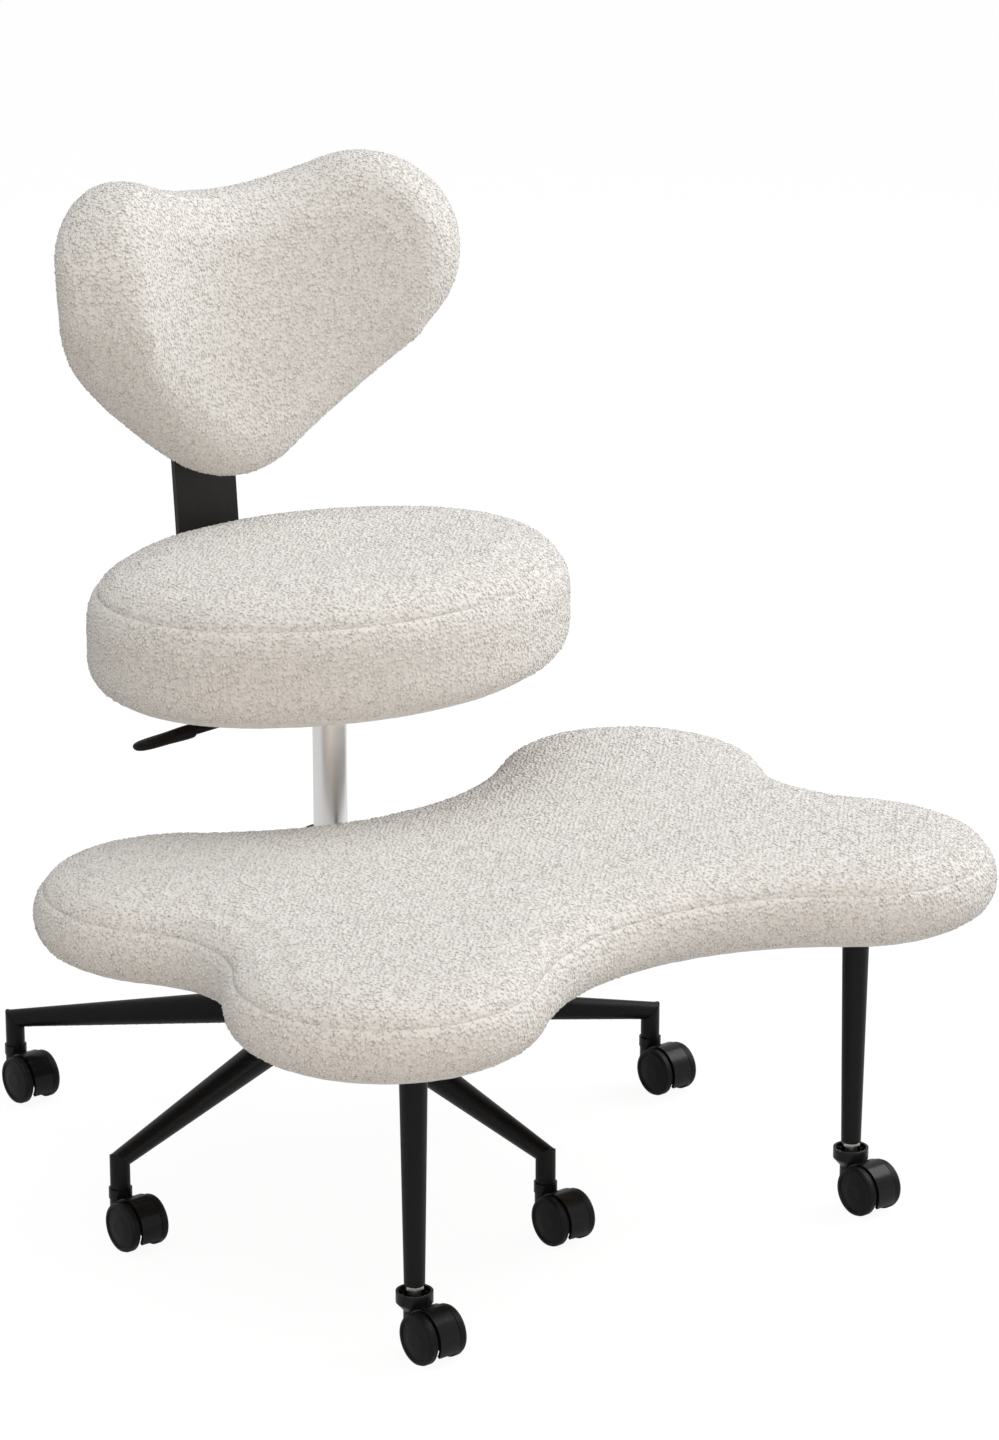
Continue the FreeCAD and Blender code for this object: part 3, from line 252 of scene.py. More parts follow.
# plywood: long grain on the faces and thin plies on the edges
plySet = {"stretch": (5.0, 60.0, 60.0), "grain": 3.0, "distortion": 0.6, "grainSpan": (0.3, 0.7),
          "plies": 2600.0, "plyShare": 0.12, "pale": (0.56, 0.42, 0.27), "brown": (0.40, 0.27, 0.15),
          "edge": (0.30, 0.19, 0.10), "rough": 0.6, "roughGrain": 0.2, "depth": 0.0006, "bump": 0.3}


def plywoodLook(name):
    look = Finish(name)
    grain = look.grain(plySet["stretch"], Scale=plySet["grain"], Detail=6.0, Distortion=plySet["distortion"])
    parts = look.node("ShaderNodeSeparateXYZ", None, {"Vector": look.place})
    level = look.value(parts, "Z") * plySet["plies"]
    plies = level.math("SINE", level) * plySet["plyShare"] + plySet["plyShare"]
    tone = look.mix(look.ramp(grain, *zip(plySet["grainSpan"], (0.0, 1.0))), plySet["pale"], plySet["brown"])
    return look.set(Base_Color=look.mix(plies, tone, plySet["edge"]),
                    Roughness=plySet["rough"] + grain * plySet["roughGrain"],
                    Normal=look.bump(grain, plySet["depth"], plySet["bump"]))


plywood = plywoodLook("plywood")
nodeLook = {"black_steel": blackSteel, "caster_hood": hoodPlastic, "caster_tread": wheelPlastic,
            "plywood": plywood, "black_plastic": gripPlastic, "black_fastener": boltBlack,
            "chrome_tube": chrome, "zinc_steel": zinc, "boucle": boucle}
for part in frame["record"]["subparts"]:
    mesh = frame["nodes"][part["node"]].data
    mesh.materials.clear()
    # the back bar takes the lighter copy with its painted highlight
    mesh.materials.append(barSteelPaintedLight if part["node"] == "back_bar" else nodeLook[part["material_slot"]])
print("finishes made:", len(bpy.data.materials))


# outlines of tangent arcs, in metres; an inset shrinks the lobes and widens the waists
def arcSpots(centre, radius, first, last, count):
    turns = [first + (last - first) / count * step for step in range(count)]
    return [(centre[0] + radius * math.cos(turn), centre[1] + radius * math.sin(turn)) for turn in turns]


def bearing(start, end):
    return math.atan2(end[1] - start[1], end[0] - start[0])


def waistRadius(lobeX, offset, lobe):
    return (lobeX ** 2 + offset ** 2 - lobe ** 2) / (2 * (lobe - offset))


seatSet = {"halfWidth": 0.211, "front": -0.1675, "rear": 0.1585, "endArc": 0.136, "steps": 60,
           "bottom": 0.396, "top": 0.500, "lowRound": 0.029, "highRound": 0.042, "crown": 0.003,
           "crownInset": 0.09, "shrink": 0.003, "cap": 0.0045, "pressure": 4.0, "seam": (0.0065, 0.4825),
           "seamDepth": 0.0022}


def seatOutline(inset):
    halfX = seatSet["halfWidth"]
    halfY = (seatSet["rear"] - seatSet["front"]) / 2
    middle = (seatSet["rear"] + seatSet["front"]) / 2
    end = seatSet["endArc"]
    side = (halfX ** 2 + halfY ** 2 - 2 * halfX * end) / (2 * (halfY - end))
    corner = math.atan2(side - halfY, halfX - end)
    spots = []
    for quarter, centre, radius in ((0, (halfX - end, middle), end), (1, (0, middle + halfY - side), side),
                                    (2, (end - halfX, middle), end), (3, (0, middle - halfY + side), side)):
        half = corner if quarter % 2 == 0 else math.pi / 2 - corner
        facing = quarter * math.pi / 2
        spots += arcSpots(centre, radius - inset, facing - half, facing + half, seatSet["steps"])
    return spots


footSet = {"rearX": 0.2274, "rearY": -0.1134, "rearLobe": 0.117, "frontX": 0.2289, "frontY": -0.3708,
           "frontLobe": 0.121, "rearWaist": -0.0817, "frontWaist": -0.4059, "sideArc": 0.095, "lobeSteps": 64,
           "sideSteps": 24, "waistSteps": 60, "bottom": 0.2436, "top": 0.3065, "lowRound": 0.0265,
           "highRound": 0.0335, "crown": 0.002, "crownInset": 0.072, "shrink": 0.003, "cap": 0.0042,
           "pressure": 4.0, "seam": (0.007, 0.2935), "seamDepth": 0.0016}


def footOutline(inset):
    rear = (footSet["rearX"], footSet["rearY"])
    front = (footSet["frontX"], footSet["frontY"])
    rearLobe, frontLobe, side = footSet["rearLobe"], footSet["frontLobe"], footSet["sideArc"]
    rearWaist = waistRadius(rear[0], footSet["rearWaist"] - rear[1], rearLobe)
    frontWaist = waistRadius(front[0], front[1] - footSet["frontWaist"], frontLobe)
    rearCentre = (0, footSet["rearWaist"] + rearWaist)
    frontCentre = (0, footSet["frontWaist"] - frontWaist)
    gap = math.dist(front, rear)
    reach = (side + frontLobe, side + rearLobe)
    along = (reach[0] ** 2 - reach[1] ** 2 + gap ** 2) / (2 * gap)
    out = math.sqrt(reach[0] ** 2 - along ** 2)
    unit = ((rear[0] - front[0]) / gap, (rear[1] - front[1]) / gap)
    sideCentre = (front[0] + unit[0] * along + unit[1] * out, front[1] + unit[1] * along - unit[0] * out)
    lobeSteps, sideSteps, waistSteps = footSet["lobeSteps"], footSet["sideSteps"], footSet["waistSteps"]
    sideTurn = bearing(sideCentre, front) + 2 * math.pi
    half = [(front, frontLobe - inset, bearing(front, frontCentre), bearing(front, sideCentre), lobeSteps),
            (sideCentre, side + inset, sideTurn, bearing(sideCentre, rear), sideSteps),
            (rear, rearLobe - inset, bearing(rear, sideCentre), bearing(rear, rearCentre), lobeSteps)]
    spots = []
    for centre, radius, first, last, count in half:
        spots += arcSpots(centre, radius, first, last, count)
    waist = bearing(rearCentre, rear)
    spots += arcSpots(rearCentre, rearWaist + inset, waist, -math.pi - waist, waistSteps)
    for centre, radius, first, last, count in reversed(half):
        spots += arcSpots((-centre[0], centre[1]), radius, math.pi - last, math.pi - first, count)
    waist = bearing(frontCentre, front)
    spots += arcSpots(frontCentre, frontWaist + inset, math.pi - waist, waist, waistSteps)
    return spots


# a closed skin over rings of equal count: a tube round to its first ring, or ends with caps
def ringSkin(name, rings, tube=False):
    shape = bmesh.new()
    rows = [[shape.verts.new(spot) for spot in ring] for ring in rings]
    for low, high in zip(rows, rows[1:] + rows[:1] if tube else rows[1:]):
        for step in range(len(low)):
            after = (step + 1) % len(low)
            shape.faces.new((low[step], low[after], high[after], high[step]))
    if not tube:
        shape.faces.new(list(reversed(rows[0])))
        shape.faces.new(rows[-1])
    bmesh.ops.recalc_face_normals(shape, faces=shape.faces)
    return finishMesh(name, shape)


def finishMesh(name, shape):
    mesh = bpy.data.meshes.new(name)
    shape.to_mesh(mesh)
    shape.free()
    piece = bpy.data.objects.new(name, mesh)
    scene.collection.objects.link(piece)
    return piece


def smoothed(piece):
    for face in piece.data.polygons:
        face.use_smooth = True
    return piece


# the piece with its modifiers worked into a plain mesh
def settled(piece, name):
    mesh = bpy.data.meshes.new_from_object(piece.evaluated_get(bpy.context.evaluated_depsgraph_get()))
    mesh.name = name
    old = piece.data
    piece.modifiers.clear()
    piece.data = mesh
    bpy.data.meshes.remove(old)
    return piece


# rings of a flat pad: a rounded lower edge, a rounded upper edge and a crown
ringSet = {"lift": 0.0015, "lowSteps": 6, "highSteps": 8, "highTurn": 84}


def padRings(setting, outlineAt):
    low, high = setting["bottom"] + ringSet["lift"], setting["top"]
    lowRound, highRound = setting["lowRound"], setting["highRound"]
    rings = []
    for step in range(ringSet["lowSteps"] + 1):
        turn = math.radians(90 * step / ringSet["lowSteps"])
        rings.append((lowRound * (1 - math.sin(turn)), low + lowRound * (1 - math.cos(turn))))
    for step in range(ringSet["highSteps"] + 1):
        turn = math.radians(ringSet["highTurn"] * step / ringSet["highSteps"])
        rings.append((highRound * (1 - math.cos(turn)), high - highRound * (1 - math.sin(turn))))
    rings.append((setting["crownInset"], high + setting["crown"]))
    return [[(x, y, height) for x, y in outlineAt(inset)] for inset, height in rings]


# the heart-shaped pad: upright slices on planes through the line that it is bent round
backSet = {"baseY": 0.128, "baseZ": 0.537, "recline": 4.7, "bend": 0.224, "thick": 0.0754, "round": 0.0316,
           "lobeU": 0.1241, "lobeV": 0.1745, "lobe": 0.0827, "dip": 0.2368, "tip": 0.0848, "crown": 0.003,
           "roundThick": 0.85, "roundHigh": 0.42, "cornerSteps": 8, "faceSteps": 8, "longSide": 0.02,
           "crownFrom": 0.97, "sliceSteps": 24, "tipInset": 0.0012, "shrink": 0.003, "cap": 0.0045,
           "pressure": 4.0, "bottom": -1.0, "seamDepth": 0.0007, "seamFaint": 0.9, "seamShare": 0.72,
           "seamInset": 0.004, "board": (0.075, 0.070, 0.205), "land": (0.033, 0.082, 0.182),
           "landDepth": 0.040, "cover": 0.0014, "slope": 0.5, "rearFace": 0.03, "landEase": 0.02}
backTurn = Matrix.Translation((0, backSet["baseY"], backSet["baseZ"])) @ Euler(
    (-math.radians(backSet["recline"]), 0, 0)).to_matrix().to_4x4()


def heartSpan(across):
    lobe, radius, tip = (backSet["lobeU"], backSet["lobeV"]), backSet["lobe"], backSet["tip"]
    dipRadius = waistRadius(lobe[0], backSet["dip"] - lobe[1], radius)
    dipCentre = (0, backSet["dip"] + dipRadius)
    normal = bearing((0, tip), lobe) - math.pi / 2 + math.asin((radius - tip) / math.dist(lobe, (0, tip)))
    rise = radius * math.sqrt(max(0.0, 1 - min(1.0, abs(across - lobe[0]) / radius) ** 2))
    dipEnd = dipRadius * math.cos(bearing(dipCentre, lobe))
    upper = dipCentre[1] - math.sqrt(dipRadius ** 2 - across ** 2) if across < dipEnd else lobe[1] + rise
    sideStart, sideEnd = tip * math.cos(normal), lobe[0] + radius * math.cos(normal)
    if across < sideStart:
        return tip - math.sqrt(tip ** 2 - across ** 2), upper
    if across < sideEnd:
        return tip + tip * math.sin(normal) + (across - sideStart) * math.tan(normal + math.pi / 2), upper
    return lobe[1] - rise, upper


def backSpot(across, depth, height):
    angle, radius = across / backSet["bend"], backSet["bend"] + depth
    return backTurn @ Vector((radius * math.sin(angle), radius * math.cos(angle) - backSet["bend"], height))


def backHalf(side):
    full, edge = backSet["thick"] / 2, backSet["round"]
    depth = min(edge, backSet["lobeU"] + backSet["lobe"] - side)
    return full - edge + math.sqrt(max(0.0, edge ** 2 - (edge - depth) ** 2))


def backRing(across):
    side = abs(across)
    lower, upper = heartSpan(side)
    half = backHalf(side)
    corner = min(backSet["round"], half * backSet["roundThick"], (upper - lower) * backSet["roundHigh"])
    crown = backSet["crown"] * half / (backSet["thick"] / 2)
    ring = []
    for sign, level, first in ((1, lower, -90), (1, upper, 0), (-1, upper, 90), (-1, lower, 180)):
        up = 1 if level == upper else -1
        for step in range(backSet["cornerSteps"] + 1):
            turn = math.radians(first + 90 * step / backSet["cornerSteps"])
            ring.append((sign * (half - corner) + corner * math.cos(turn),
                         level - up * corner + corner * math.sin(turn)))
    spots = []
    for (depth, height), (nextDepth, nextHeight) in zip(ring, ring[1:] + ring[:1]):
        gap = math.dist((depth, height), (nextDepth, nextHeight))
        steps = backSet["faceSteps"] if gap > backSet["longSide"] else 1
        for step in range(steps):
            share = step / steps
            inward = depth + (nextDepth - depth) * share
            level = height + (nextHeight - height) * share
            if inward < -half * backSet["crownFrom"] and upper > lower:
                inward -= crown * max(0.0, 1 - ((2 * level - upper - lower) / (upper - lower)) ** 2)
            spots.append(backSpot(across, inward, level))
    return spots


# the same number of evenly spaced spots on every ring
def evenRings(rings):
    count = max(len(ring) for ring in rings)
    even = []
    for ring in rings:
        lengths = [0.0]
        for first, second in zip(ring, ring[1:] + ring[:1]):
            lengths.append(lengths[-1] + (second - first).length)
        spots = []
        for step in range(count):
            goal = lengths[-1] * step / count
            place = max(number for number in range(len(ring)) if lengths[number] <= goal)
            share = (goal - lengths[place]) / max(1e-9, lengths[place + 1] - lengths[place])
            spots.append(ring[place].lerp(ring[(place + 1) % len(ring)], share))
        even.append(spots)
    return even


# foam under cloth: remesh, draw in, blow up with a cloth simulation, then hold the swell to its limits
swellSet = {"frames": 14, "least": 0.0022, "aside": 0.0015, "voxel": 0.005, "heldHeight": 0.004}
clothSet = {"quality": 5, "mass": 0.3, "tension_stiffness": 12, "compression_stiffness": 12,
            "bending_stiffness": 0.6, "use_pressure": True, "vertex_group_mass": "held"}


def stuffed(piece, setting):
    remesh = piece.modifiers.new("even", "REMESH")
    remesh.mode = "VOXEL"
    remesh.voxel_size = swellSet["voxel"]
    remesh.use_smooth_shade = True
    settled(piece, piece.name)
    held = piece.vertex_groups.new(name="held")
    normals = [vertex.normal.copy() for vertex in piece.data.vertices]
    flat = setting["bottom"] + swellSet["heldHeight"]
    for vertex, normal in zip(piece.data.vertices, normals):
        under = vertex.co.z < flat
        held.add([vertex.index], 1.0 if under else 0.0, "REPLACE")
        if not under:
            vertex.co -= normal * setting["shrink"]
    start = [vertex.co.copy() for vertex in piece.data.vertices]
    cloth = piece.modifiers.new("foam", "CLOTH")
    for key, item in clothSet.items():
        setattr(cloth.settings, key, item)
    cloth.settings.uniform_pressure_force = setting["pressure"]
    cloth.settings.effector_weights.gravity = 0.0
    cloth.point_cache.frame_start = 1
    cloth.point_cache.frame_end = swellSet["frames"]
    for step in range(1, swellSet["frames"] + 1):
        scene.frame_set(step)
    blown = piece.evaluated_get(bpy.context.evaluated_depsgraph_get()).to_mesh()
    ends = [vertex.co.copy() for vertex in blown.vertices]
    piece.modifiers.clear()
    scene.frame_set(1)
    moved = 0.0
    for vertex, normal, before, after in zip(piece.data.vertices, normals, start, ends):
        if vertex.co.z < flat:
            continue
        step = after - before
        moved = max(moved, step.length)
        out = step.dot(normal)
        aside = step - normal * out
        aside *= min(1.0, swellSet["aside"] / max(aside.length, 1e-9))
        vertex.co = before + aside + normal * min(setting["cap"], max(swellSet["least"], out))
    smooth = piece.modifiers.new("round", "SUBSURF")
    smooth.levels = smooth.render_levels = 1
    smoothed(settled(piece, piece.name))
    faces = len(piece.data.polygons)
    print(piece.name, "stuffed, largest swell", round(moved * 1000, 1), "mm,", faces, "faces")
    return piece


# sewn seams: a narrow crease drawn in along lines laid on the pad, and slight lumps all over it
sewSet = {"width": 0.0028, "step": 0.0008, "farthest": 20.0, "under": -0.9,
          "lumps": ((18.0, 0.0006), (55.0, 0.0002))}


def sewn(piece, lines, depth, faint=0.0):
    mesh = piece.data
    corners = [vertex.co for vertex in mesh.vertices]
    tree = BVHTree.FromPolygons(corners, [face.vertices for face in mesh.polygons])
    spots = []
    for line in lines:
        closed = line + line[:1]
        for first, second in zip(closed, closed[1:]):
            steps = max(1, int((second - first).length / sewSet["step"]))
            spots += [tree.find_nearest(first.lerp(second, step / steps))[0] for step in range(steps)]
    near = kdtree.KDTree(len(spots))
    for number, spot in enumerate(spots):
        near.insert(spot, number)
    near.balance()
    # seamGap holds the distance to the nearest seam in mm; the cloth finish reads it to paint shade along the
    # seams, the pile keeps curls off them, and faint pushes it out so the painted seam shade is fainter
    gaps = mesh.attributes.new("seamGap", "FLOAT", "POINT")
    places = []
    for vertex in mesh.vertices:
        gap = near.find(vertex.co)[2]
        gaps.data[vertex.index].value = min(gap * 1000 + faint, sewSet["farthest"])
        lump = sum(noise.noise(vertex.co * scale) * height for scale, height in sewSet["lumps"])
        lift = lump - depth * math.exp(-(gap / sewSet["width"]) ** 2)
        places.extend(vertex.co + vertex.normal * (lift if vertex.normal.z > sewSet["under"] else 0.0))
    mesh.vertices.foreach_set("co", places)
    mesh.update()
    return piece


def asLine(spots, height):
    return [Vector((x, y, height)) for x, y in spots]


# at the rear the cloth runs over the back board and the land that the bar is bolted to
def overBoard(piece):
    bend, cover, slope = backSet["bend"], backSet["cover"], backSet["slope"]
    inverse = backTurn.inverted()
    plate = backSet["thick"] / 2 + cover
    for vertex in piece.data.vertices:
        spot = inverse @ vertex.co
        radius = math.hypot(spot.x, spot.y + bend)
        if radius < bend + backSet["rearFace"]:
            continue
        outside = []
        for half, low, high in (backSet["board"], backSet["land"]):
            beside = max(0.0, abs(spot.x) - half)
            outside.append(math.hypot(beside, max(0.0, low - spot.z, spot.z - high)))
        depth = max(radius - bend, plate - slope * outside[0])
        turn = math.atan2(spot.x, spot.y + bend)
        across, along = (bend + depth) * math.sin(turn), (bend + depth) * math.cos(turn) - bend
        if outside[1] < backSet["landEase"]:
            along = max(along, backSet["landDepth"] + cover / 2 - slope * outside[1])
        vertex.co = backTurn @ Vector((across, along, spot.z))
    piece.data.update()


seatPad = stuffed(ringSkin("seat_pad", padRings(seatSet, seatOutline)), seatSet)
sewn(seatPad, [asLine(seatOutline(seatSet["seam"][0]), seatSet["seam"][1])], seatSet["seamDepth"])
footPad = stuffed(ringSkin("footrest_pad", padRings(footSet, footOutline)), footSet)
sewn(footPad, [asLine(footOutline(footSet["seam"][0]), footSet["seam"][1])], footSet["seamDepth"])
reach = backSet["lobeU"] + backSet["lobe"] - backSet["tipInset"]
count = backSet["sliceSteps"]
slices = [reach * math.sin(math.radians(90 * step / count)) for step in range(-count, count + 1)]
backPad = stuffed(ringSkin("back_pad", evenRings([backRing(across) for across in slices])), backSet)
backSeams = []
for sign in (-1, 1):
    upperLine, lowerLine = [], []
    for across in slices[2:-2]:
        lower, upper = heartSpan(abs(across))
        depth = sign * backHalf(abs(across)) * backSet["seamShare"]
        lowerLine.append(backSpot(across, depth, lower + backSet["seamInset"]))
        upperLine.append(backSpot(across, depth, upper - backSet["seamInset"]))
    backSeams.append(lowerLine + list(reversed(upperLine)))
overBoard(backPad)
sewn(backPad, backSeams, backSet["seamDepth"], backSet["seamFaint"])
for pad, node, body in ((seatPad, "seat_cushion", "seat"), (footPad, "footrest_cushion", "footrest"),
                        (backPad, "back_cushion", "seat")):
    pad.data.materials.append(boucle)
    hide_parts(node)
    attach(pad, body)
print("pads sewn")


# the pile: small curls of yarn scattered over the cloth
curlSet = {"spacing": 0.0027, "size": 0.00165, "seed": 7, "seamGap": 1.2, "density": 400000.0,
           "long": 1.25, "short": 0.95, "wave": 0.12, "top": (0.1, 0, 0.52), "bottom": (0, 0, -0.6),
           "twist": (0.5, 0.5, 3.2), "least": 0.7, "most": 1.3}


def curlShape():
    shape = bmesh.new()
    rim = []
    for step in range(6):
        turn = math.radians(60 * step)
        out = curlSet["long"] if step % 3 == 0 else curlSet["short"]
        rise = curlSet["wave"] * (-1) ** step
        rim.append(shape.verts.new((out * math.cos(turn), out * math.sin(turn), rise)))
    top, bottom = shape.verts.new(curlSet["top"]), shape.verts.new(curlSet["bottom"])
    for step in range(6):
        after = (step + 1) % 6
        shape.faces.new((rim[step], rim[after], top))
        shape.faces.new((rim[after], rim[step], bottom))
    return smoothed(finishMesh("curl_shape", shape))


# one Geometry Nodes tree with named inputs
class Tree:
    def __init__(self, name, inputs):
        self.tree = bpy.data.node_groups.new(name, "GeometryNodeTree")
        self.tree.interface.new_socket("Geometry", in_out="INPUT", socket_type="NodeSocketGeometry")
        self.keys = {}
        for title, kind in inputs.items():
            made = self.tree.interface.new_socket(title, in_out="INPUT", socket_type=kind)
            self.keys[title] = made.identifier
        self.tree.interface.new_socket("Geometry", in_out="OUTPUT", socket_type="NodeSocketGeometry")
        self.given = self.tree.nodes.new("NodeGroupInput").outputs
        self.out = self.tree.nodes.new("NodeGroupOutput")

    def node(self, kind, settings=None, sockets=None):
        made = self.tree.nodes.new(kind)
        for key, item in (settings or {}).items():
            setattr(made, key, item)
        for key, item in (sockets or {}).items():
            feed(self.tree, made.inputs[key], item)
        return made

    def compare(self, operation, first, second):
        return self.node("FunctionNodeCompare", {"operation": operation}, {0: first, 1: second}).outputs[0]

    def both(self, first, second):
        return self.node("FunctionNodeBooleanMath", {"operation": "AND"}, {0: first, 1: second}).outputs[0]

    def close(self, geometry, material):
        real = self.node("GeometryNodeRealizeInstances", None, {"Geometry": geometry})
        painted = self.node("GeometryNodeSetMaterial", None,
                            {"Geometry": real.outputs[0], "Material": material})
        self.tree.links.new(painted.outputs[0], self.out.inputs[0])

    # run on a copy of a piece, leaving a plain mesh
    def run(self, source, name, **values):
        piece = source.copy()
        piece.data = source.data.copy()
        piece.name = name
        for key in list(piece.keys()):
            if key.startswith("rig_"):
                del piece[key]
        scene.collection.objects.link(piece)
        work = piece.modifiers.new("grow", "NODES")
        work.node_group = self.tree
        for title, item in values.items():
            work[self.keys[title]] = item
        return settled(piece, name)


pile = Tree("pile", {"Spacing": "NodeSocketFloat", "Size": "NodeSocketFloat", "Seam": "NodeSocketFloat",
                     "Low": "NodeSocketFloat", "High": "NodeSocketFloat", "Seed": "NodeSocketInt",
                     "Curl": "NodeSocketObject", "Finish": "NodeSocketMaterial"})
given = pile.given
facing = pile.node("GeometryNodeInputNormal").outputs[0]
upness = pile.node("ShaderNodeSeparateXYZ", None, {0: facing}).outputs[2]
gapRead = pile.node("GeometryNodeInputNamedAttribute", {"data_type": "FLOAT"}, {"Name": "seamGap"}).outputs[0]
clear = pile.compare("GREATER_THAN", gapRead, given["Seam"])
above = pile.compare("GREATER_THAN", upness, given["Low"])
below = pile.compare("LESS_EQUAL", upness, given["High"])
chosen = pile.both(pile.both(above, below), clear)
spread = pile.node("GeometryNodeDistributePointsOnFaces", {"distribute_method": "POISSON"},
                   {"Mesh": given["Geometry"], "Selection": chosen, "Distance Min": given["Spacing"],
                    "Density Max": curlSet["density"], "Seed": given["Seed"]})
shape = pile.node("GeometryNodeObjectInfo", None, {"Object": given["Curl"]})
twist = pile.node("FunctionNodeRandomValue", {"data_type": "FLOAT_VECTOR"},
                  {0: tuple(-part for part in curlSet["twist"]), 1: curlSet["twist"], "Seed": given["Seed"]})
grow = pile.node("FunctionNodeRandomValue", {"data_type": "FLOAT"},
                 {2: curlSet["least"], 3: curlSet["most"], "Seed": given["Seed"]})
sized = pile.node("ShaderNodeMath", {"operation": "MULTIPLY"}, {0: grow.outputs[1], 1: given["Size"]})
turned = pile.node("FunctionNodeRotateRotation", {"rotation_space": "LOCAL"},
                   {0: spread.outputs["Rotation"], 1: twist.outputs[0]})
placed = pile.node("GeometryNodeInstanceOnPoints", None,
                   {"Points": spread.outputs["Points"], "Instance": shape.outputs["Geometry"],
                    "Rotation": turned.outputs[0], "Scale": sized.outputs[0]})
pile.close(placed.outputs[0], given["Finish"])
curl = curlShape()
# each pad's pile in bands of upward facing, so that no piece is too large
for pad, body, limits in ((seatPad, "seat", (-0.75, 0.6, 1.1)),
                          (footPad, "footrest", (-0.75, 0.1, 0.8, 0.996, 1.1)),
                          (backPad, "seat", (-1.1, -0.1, 0.1, 1.1))):
    for number, (low, high) in enumerate(zip(limits, limits[1:])):
        nap = pile.run(pad, "%s_curls_%d" % (pad.name, number + 1), Spacing=curlSet["spacing"],
                       Size=curlSet["size"], Seam=curlSet["seamGap"], Low=low, High=high,
                       Seed=curlSet["seed"] + number, Curl=curl, Finish=boucleCurl)
        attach(nap, body)
        print(nap.name, len(nap.data.polygons), "faces")
bpy.data.objects.remove(curl)


# under the pads the cloth is folded over the edge of the board, gathered and stapled
hemSet = {"edge": 0.0275, "fold": 0.034, "width": 0.021, "drop": 0.0012, "rise": 0.0025, "gather": 0.0022,
          "gatherScale": 70, "ripple": 0.0006, "rippleScale": 160, "stapleLength": 0.0052,
          "stapleHalf": 0.0006, "stapleGap": 0.024, "stapleInset": 0.045, "stapleSkew": 0.3, "seed": 11}


def hem(name, setting, outlineAt):
    under = setting["bottom"]
    inner = hemSet["fold"] + hemSet["width"]
    rings = []
    # inset, height and looseness round the section of the folded cloth
    section = ((hemSet["edge"], under + hemSet["rise"], 0.0), (hemSet["fold"], under - 0.001, 0.4),
               (inner, under - hemSet["drop"], 1.0), (inner + 0.0006, under - 0.0004, 1.0),
               (inner - 0.001, under + 0.0006, 1.0), (hemSet["fold"], under + 0.0008, 0.0))
    wide, fine = hemSet["gatherScale"], hemSet["rippleScale"]
    for inset, height, loose in section:
        ring = []
        for x, y in outlineAt(inset):
            pull = noise.noise(Vector((x * wide, y * wide, 3.0))) * hemSet["gather"] * loose
            ripple = noise.noise(Vector((x * fine, y * fine, 9.0))) * hemSet["ripple"] * loose
            shift = pull / max(1e-6, math.hypot(x, y))
            ring.append((x * (1 - shift), y * (1 - shift), height + ripple))
        rings.append(ring)
    piece = smoothed(ringSkin(name, rings, tube=True))
    piece.data.materials.append(boucleCurl)
    return piece


def stapleLine(name, setting, outlineAt):
    shape = bmesh.new()
    height = setting["bottom"] - hemSet["drop"] - 0.0004
    row = [shape.verts.new((x, y, height)) for x, y in outlineAt(hemSet["stapleInset"])]
    for first, second in zip(row, row[1:] + row[:1]):
        shape.edges.new((first, second))
    return finishMesh(name, shape)


def stapleShape():
    shape = bmesh.new()
    bmesh.ops.create_cube(shape, size=2.0)
    half, thin = hemSet["stapleLength"], hemSet["stapleHalf"]
    bmesh.ops.scale(shape, vec=(half, thin, thin), verts=shape.verts)
    bmesh.ops.bevel(shape, geom=list(shape.edges), offset=thin * 0.5, segments=2, affect="EDGES")
    return finishMesh("staple_shape", shape)


staples = Tree("staples", {"Gap": "NodeSocketFloat", "Seed": "NodeSocketInt", "Staple": "NodeSocketObject",
                           "Finish": "NodeSocketMaterial"})
given = staples.given
path = staples.node("GeometryNodeMeshToCurve", None, {"Mesh": given["Geometry"]}).outputs[0]
even = staples.node("GeometryNodeResampleCurve", {"mode": "LENGTH"},
                    {"Curve": path, "Length": given["Gap"]})
along = staples.node("FunctionNodeAlignRotationToVector", {"axis": "X"},
                     {"Vector": staples.node("GeometryNodeInputTangent").outputs[0]}).outputs[0]
skew = staples.node("FunctionNodeRandomValue", {"data_type": "FLOAT_VECTOR"},
                    {0: (0.0, 0.0, -hemSet["stapleSkew"]), 1: (0.0, 0.0, hemSet["stapleSkew"]),
                     "Seed": given["Seed"]}).outputs[0]
laid = staples.node("FunctionNodeRotateRotation", {"rotation_space": "LOCAL"},
                    {0: along, 1: skew}).outputs[0]
wire = staples.node("GeometryNodeObjectInfo", None, {"Object": given["Staple"]}).outputs["Geometry"]
driven = staples.node("GeometryNodeInstanceOnPoints", None,
                      {"Points": even.outputs[0], "Instance": wire, "Rotation": laid})
staples.close(driven.outputs[0], given["Finish"])
staple = stapleShape()
for body, setting, outlineAt in (("seat", seatSet, seatOutline), ("footrest", footSet, footOutline)):
    fold = hem(body + "_hem", setting, outlineAt)
    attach(fold, body)
    line = stapleLine(body + "_staple_line", setting, outlineAt)
    row = staples.run(line, body + "_staples", Gap=hemSet["stapleGap"], Seed=hemSet["seed"], Staple=staple,
                      Finish=zinc)
    bpy.data.objects.remove(line)
    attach(row, body)
bpy.data.objects.remove(staple)
print("hems stapled")


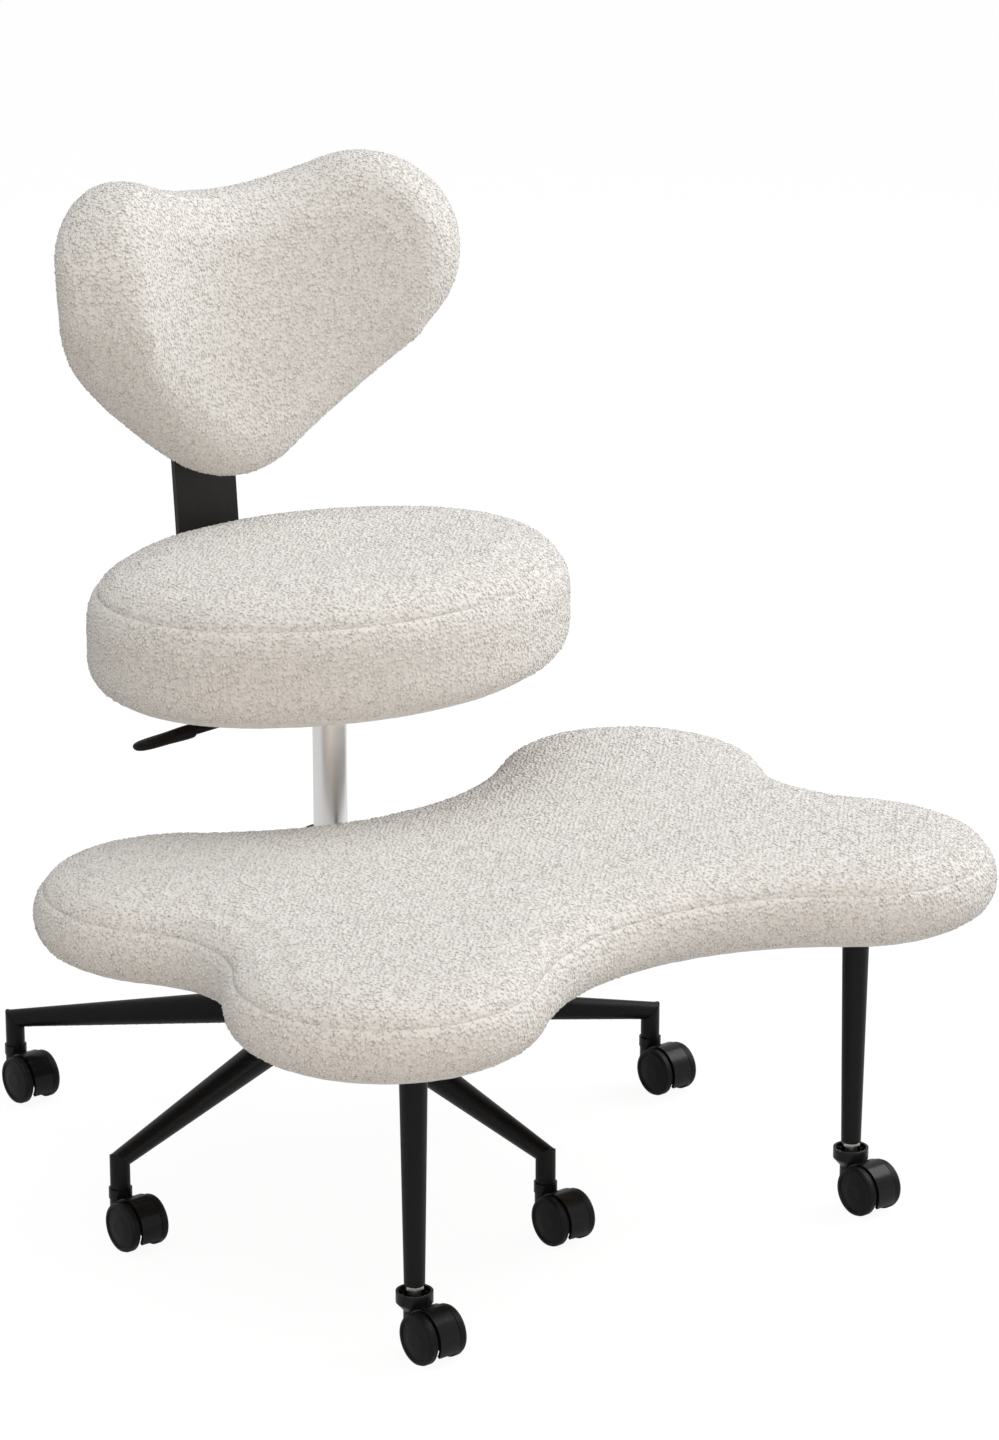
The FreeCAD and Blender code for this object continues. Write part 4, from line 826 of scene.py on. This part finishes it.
# lever grip: a blunt socket, a slight waist and a flat rounded paddle, with a small raised oval
gripSet = {"root": (-0.13387, 0.003, 0.37187), "droop": 3.7, "length": 0.057, "sides": 16, "boss": 0.4,
           "bossWidth": 0.0067, "bossHeight": 0.0051, "bossSize": (0.0034, 0.0015, 0.0011), "bossTurn": 28.0,
           "bossAngle": 40.0,
           "sections": ((0.0, 0.0056, 0.0047), (0.02, 0.0066, 0.0057), (0.08, 0.0068, 0.0058),
                        (0.22, 0.0070, 0.0057), (0.42, 0.0067, 0.0050), (0.60, 0.0082, 0.0045),
                        (0.75, 0.0089, 0.0041), (0.88, 0.0082, 0.0037), (0.96, 0.0060, 0.0030),
                        (1.0, 0.0030, 0.0018))}


def gripRing(share, width, height):
    droop = math.radians(gripSet["droop"])
    out = Vector((-math.cos(droop), 0, -math.sin(droop)))
    middle = Vector(gripSet["root"]) + out * share * gripSet["length"]
    up = Vector((-math.sin(droop), 0, math.cos(droop)))
    ring = []
    for step in range(gripSet["sides"]):
        turn = 2 * math.pi * step / gripSet["sides"]
        ring.append(middle + Vector((0, width * math.cos(turn), 0)) + up * (height * math.sin(turn)))
    return ring


grip = ringSkin("lever_grip_cover", [gripRing(*section) for section in gripSet["sections"]])
smooth = grip.modifiers.new("round", "SUBSURF")
smooth.levels = smooth.render_levels = 2
settled(grip, grip.name)
shape = bmesh.new()
shape.from_mesh(grip.data)
width, height = gripSet["bossWidth"], gripSet["bossHeight"]
ring = gripRing(gripSet["boss"], width, height)
lean = math.radians(gripSet["bossAngle"])
spot = sum(ring, Vector()) / len(ring) + Vector((0, -width * math.sin(lean), height * math.cos(lean)))
twist = math.radians(gripSet["bossTurn"])
turn = Matrix.Rotation(lean, 4, "X") @ Matrix.Rotation(twist, 4, "Z")
place = Matrix.Translation(spot) @ turn @ Matrix.Diagonal((*gripSet["bossSize"], 1.0))
bmesh.ops.create_uvsphere(shape, u_segments=20, v_segments=12, radius=1.0, matrix=place)
shape.to_mesh(grip.data)
shape.free()
smoothed(grip)
grip.data.materials.append(gripPlastic)
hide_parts("lever_grip")
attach(grip, "lever")
print("grip shaped")


# studio: pale floor, white surroundings, soft lamps
lampSet = {"key": ((2.7, -0.7, 1.8), 2.2, 62.0, (0.99, 0.995, 1.0)),
           "fill": ((-1.8, -2.6, 0.9), 2.0, 18.0, (1.0, 0.74, 0.50)),
           "top": ((-0.3, -0.9, 3.0), 2.8, 31.0, (0.98, 0.995, 1.0)), "aim": (0, -0.1, 0.35),
           "world": 0.48, "mirror": 0.32, "floorTone": 0.6, "floorGlow": 1.14, "floorShare": 0.82,
           "floorSize": 9.0}
for title in ("key", "fill", "top"):
    place, side, power, tone = lampSet[title]
    lamp = bpy.data.objects.new(title + "_lamp", bpy.data.lights.new(title + "_lamp", "AREA"))
    lamp.data.size = side
    lamp.data.energy = power
    lamp.data.color = tone
    lamp.location = place
    lamp.rotation_euler = (Vector(lampSet["aim"]) - lamp.location).to_track_quat("-Z", "Y").to_euler()
    scene.collection.objects.link(lamp)


# how far a ray sees the studio as plain white: in full from the camera, in part in mirrors
def seenDirectly(tree):
    path = tree.nodes.new("ShaderNodeLightPath").outputs
    camera, glossy, through = (Value(tree, path[key]) for key in
                               ("Is Camera Ray", "Is Glossy Ray", "Is Transmission Ray"))
    return camera.math("MAXIMUM", camera.math("MAXIMUM", camera, glossy * lampSet["mirror"]), through)


sky = bpy.data.worlds.new("studio")
sky.use_nodes = True
air = sky.node_tree.nodes["Background"]
air.inputs["Color"].default_value = (1, 1, 1, 1)
strength = seenDirectly(sky.node_tree) * (1 - lampSet["world"]) + lampSet["world"]
feed(sky.node_tree, air.inputs["Strength"], strength)
scene.world = sky
ground = Finish("pale_floor", "ShaderNodeMixShader")
matt = ground.node("ShaderNodeBsdfDiffuse", None, {"Color": (*[lampSet["floorTone"]] * 3, 1)})
glow = ground.node("ShaderNodeEmission", None, {"Color": (1, 1, 1, 1), "Strength": lampSet["floorGlow"]})
feed(ground.tree, ground.shader.inputs[0], seenDirectly(ground.tree) * lampSet["floorShare"])
feed(ground.tree, ground.shader.inputs[1], matt.outputs[0])
feed(ground.tree, ground.shader.inputs[2], glow.outputs[0])
plain = bmesh.new()
bmesh.ops.create_grid(plain, x_segments=2, y_segments=2, size=lampSet["floorSize"])
floor = finishMesh("floor", plain)
floor.data.materials.append(ground.material)
print("studio lit")
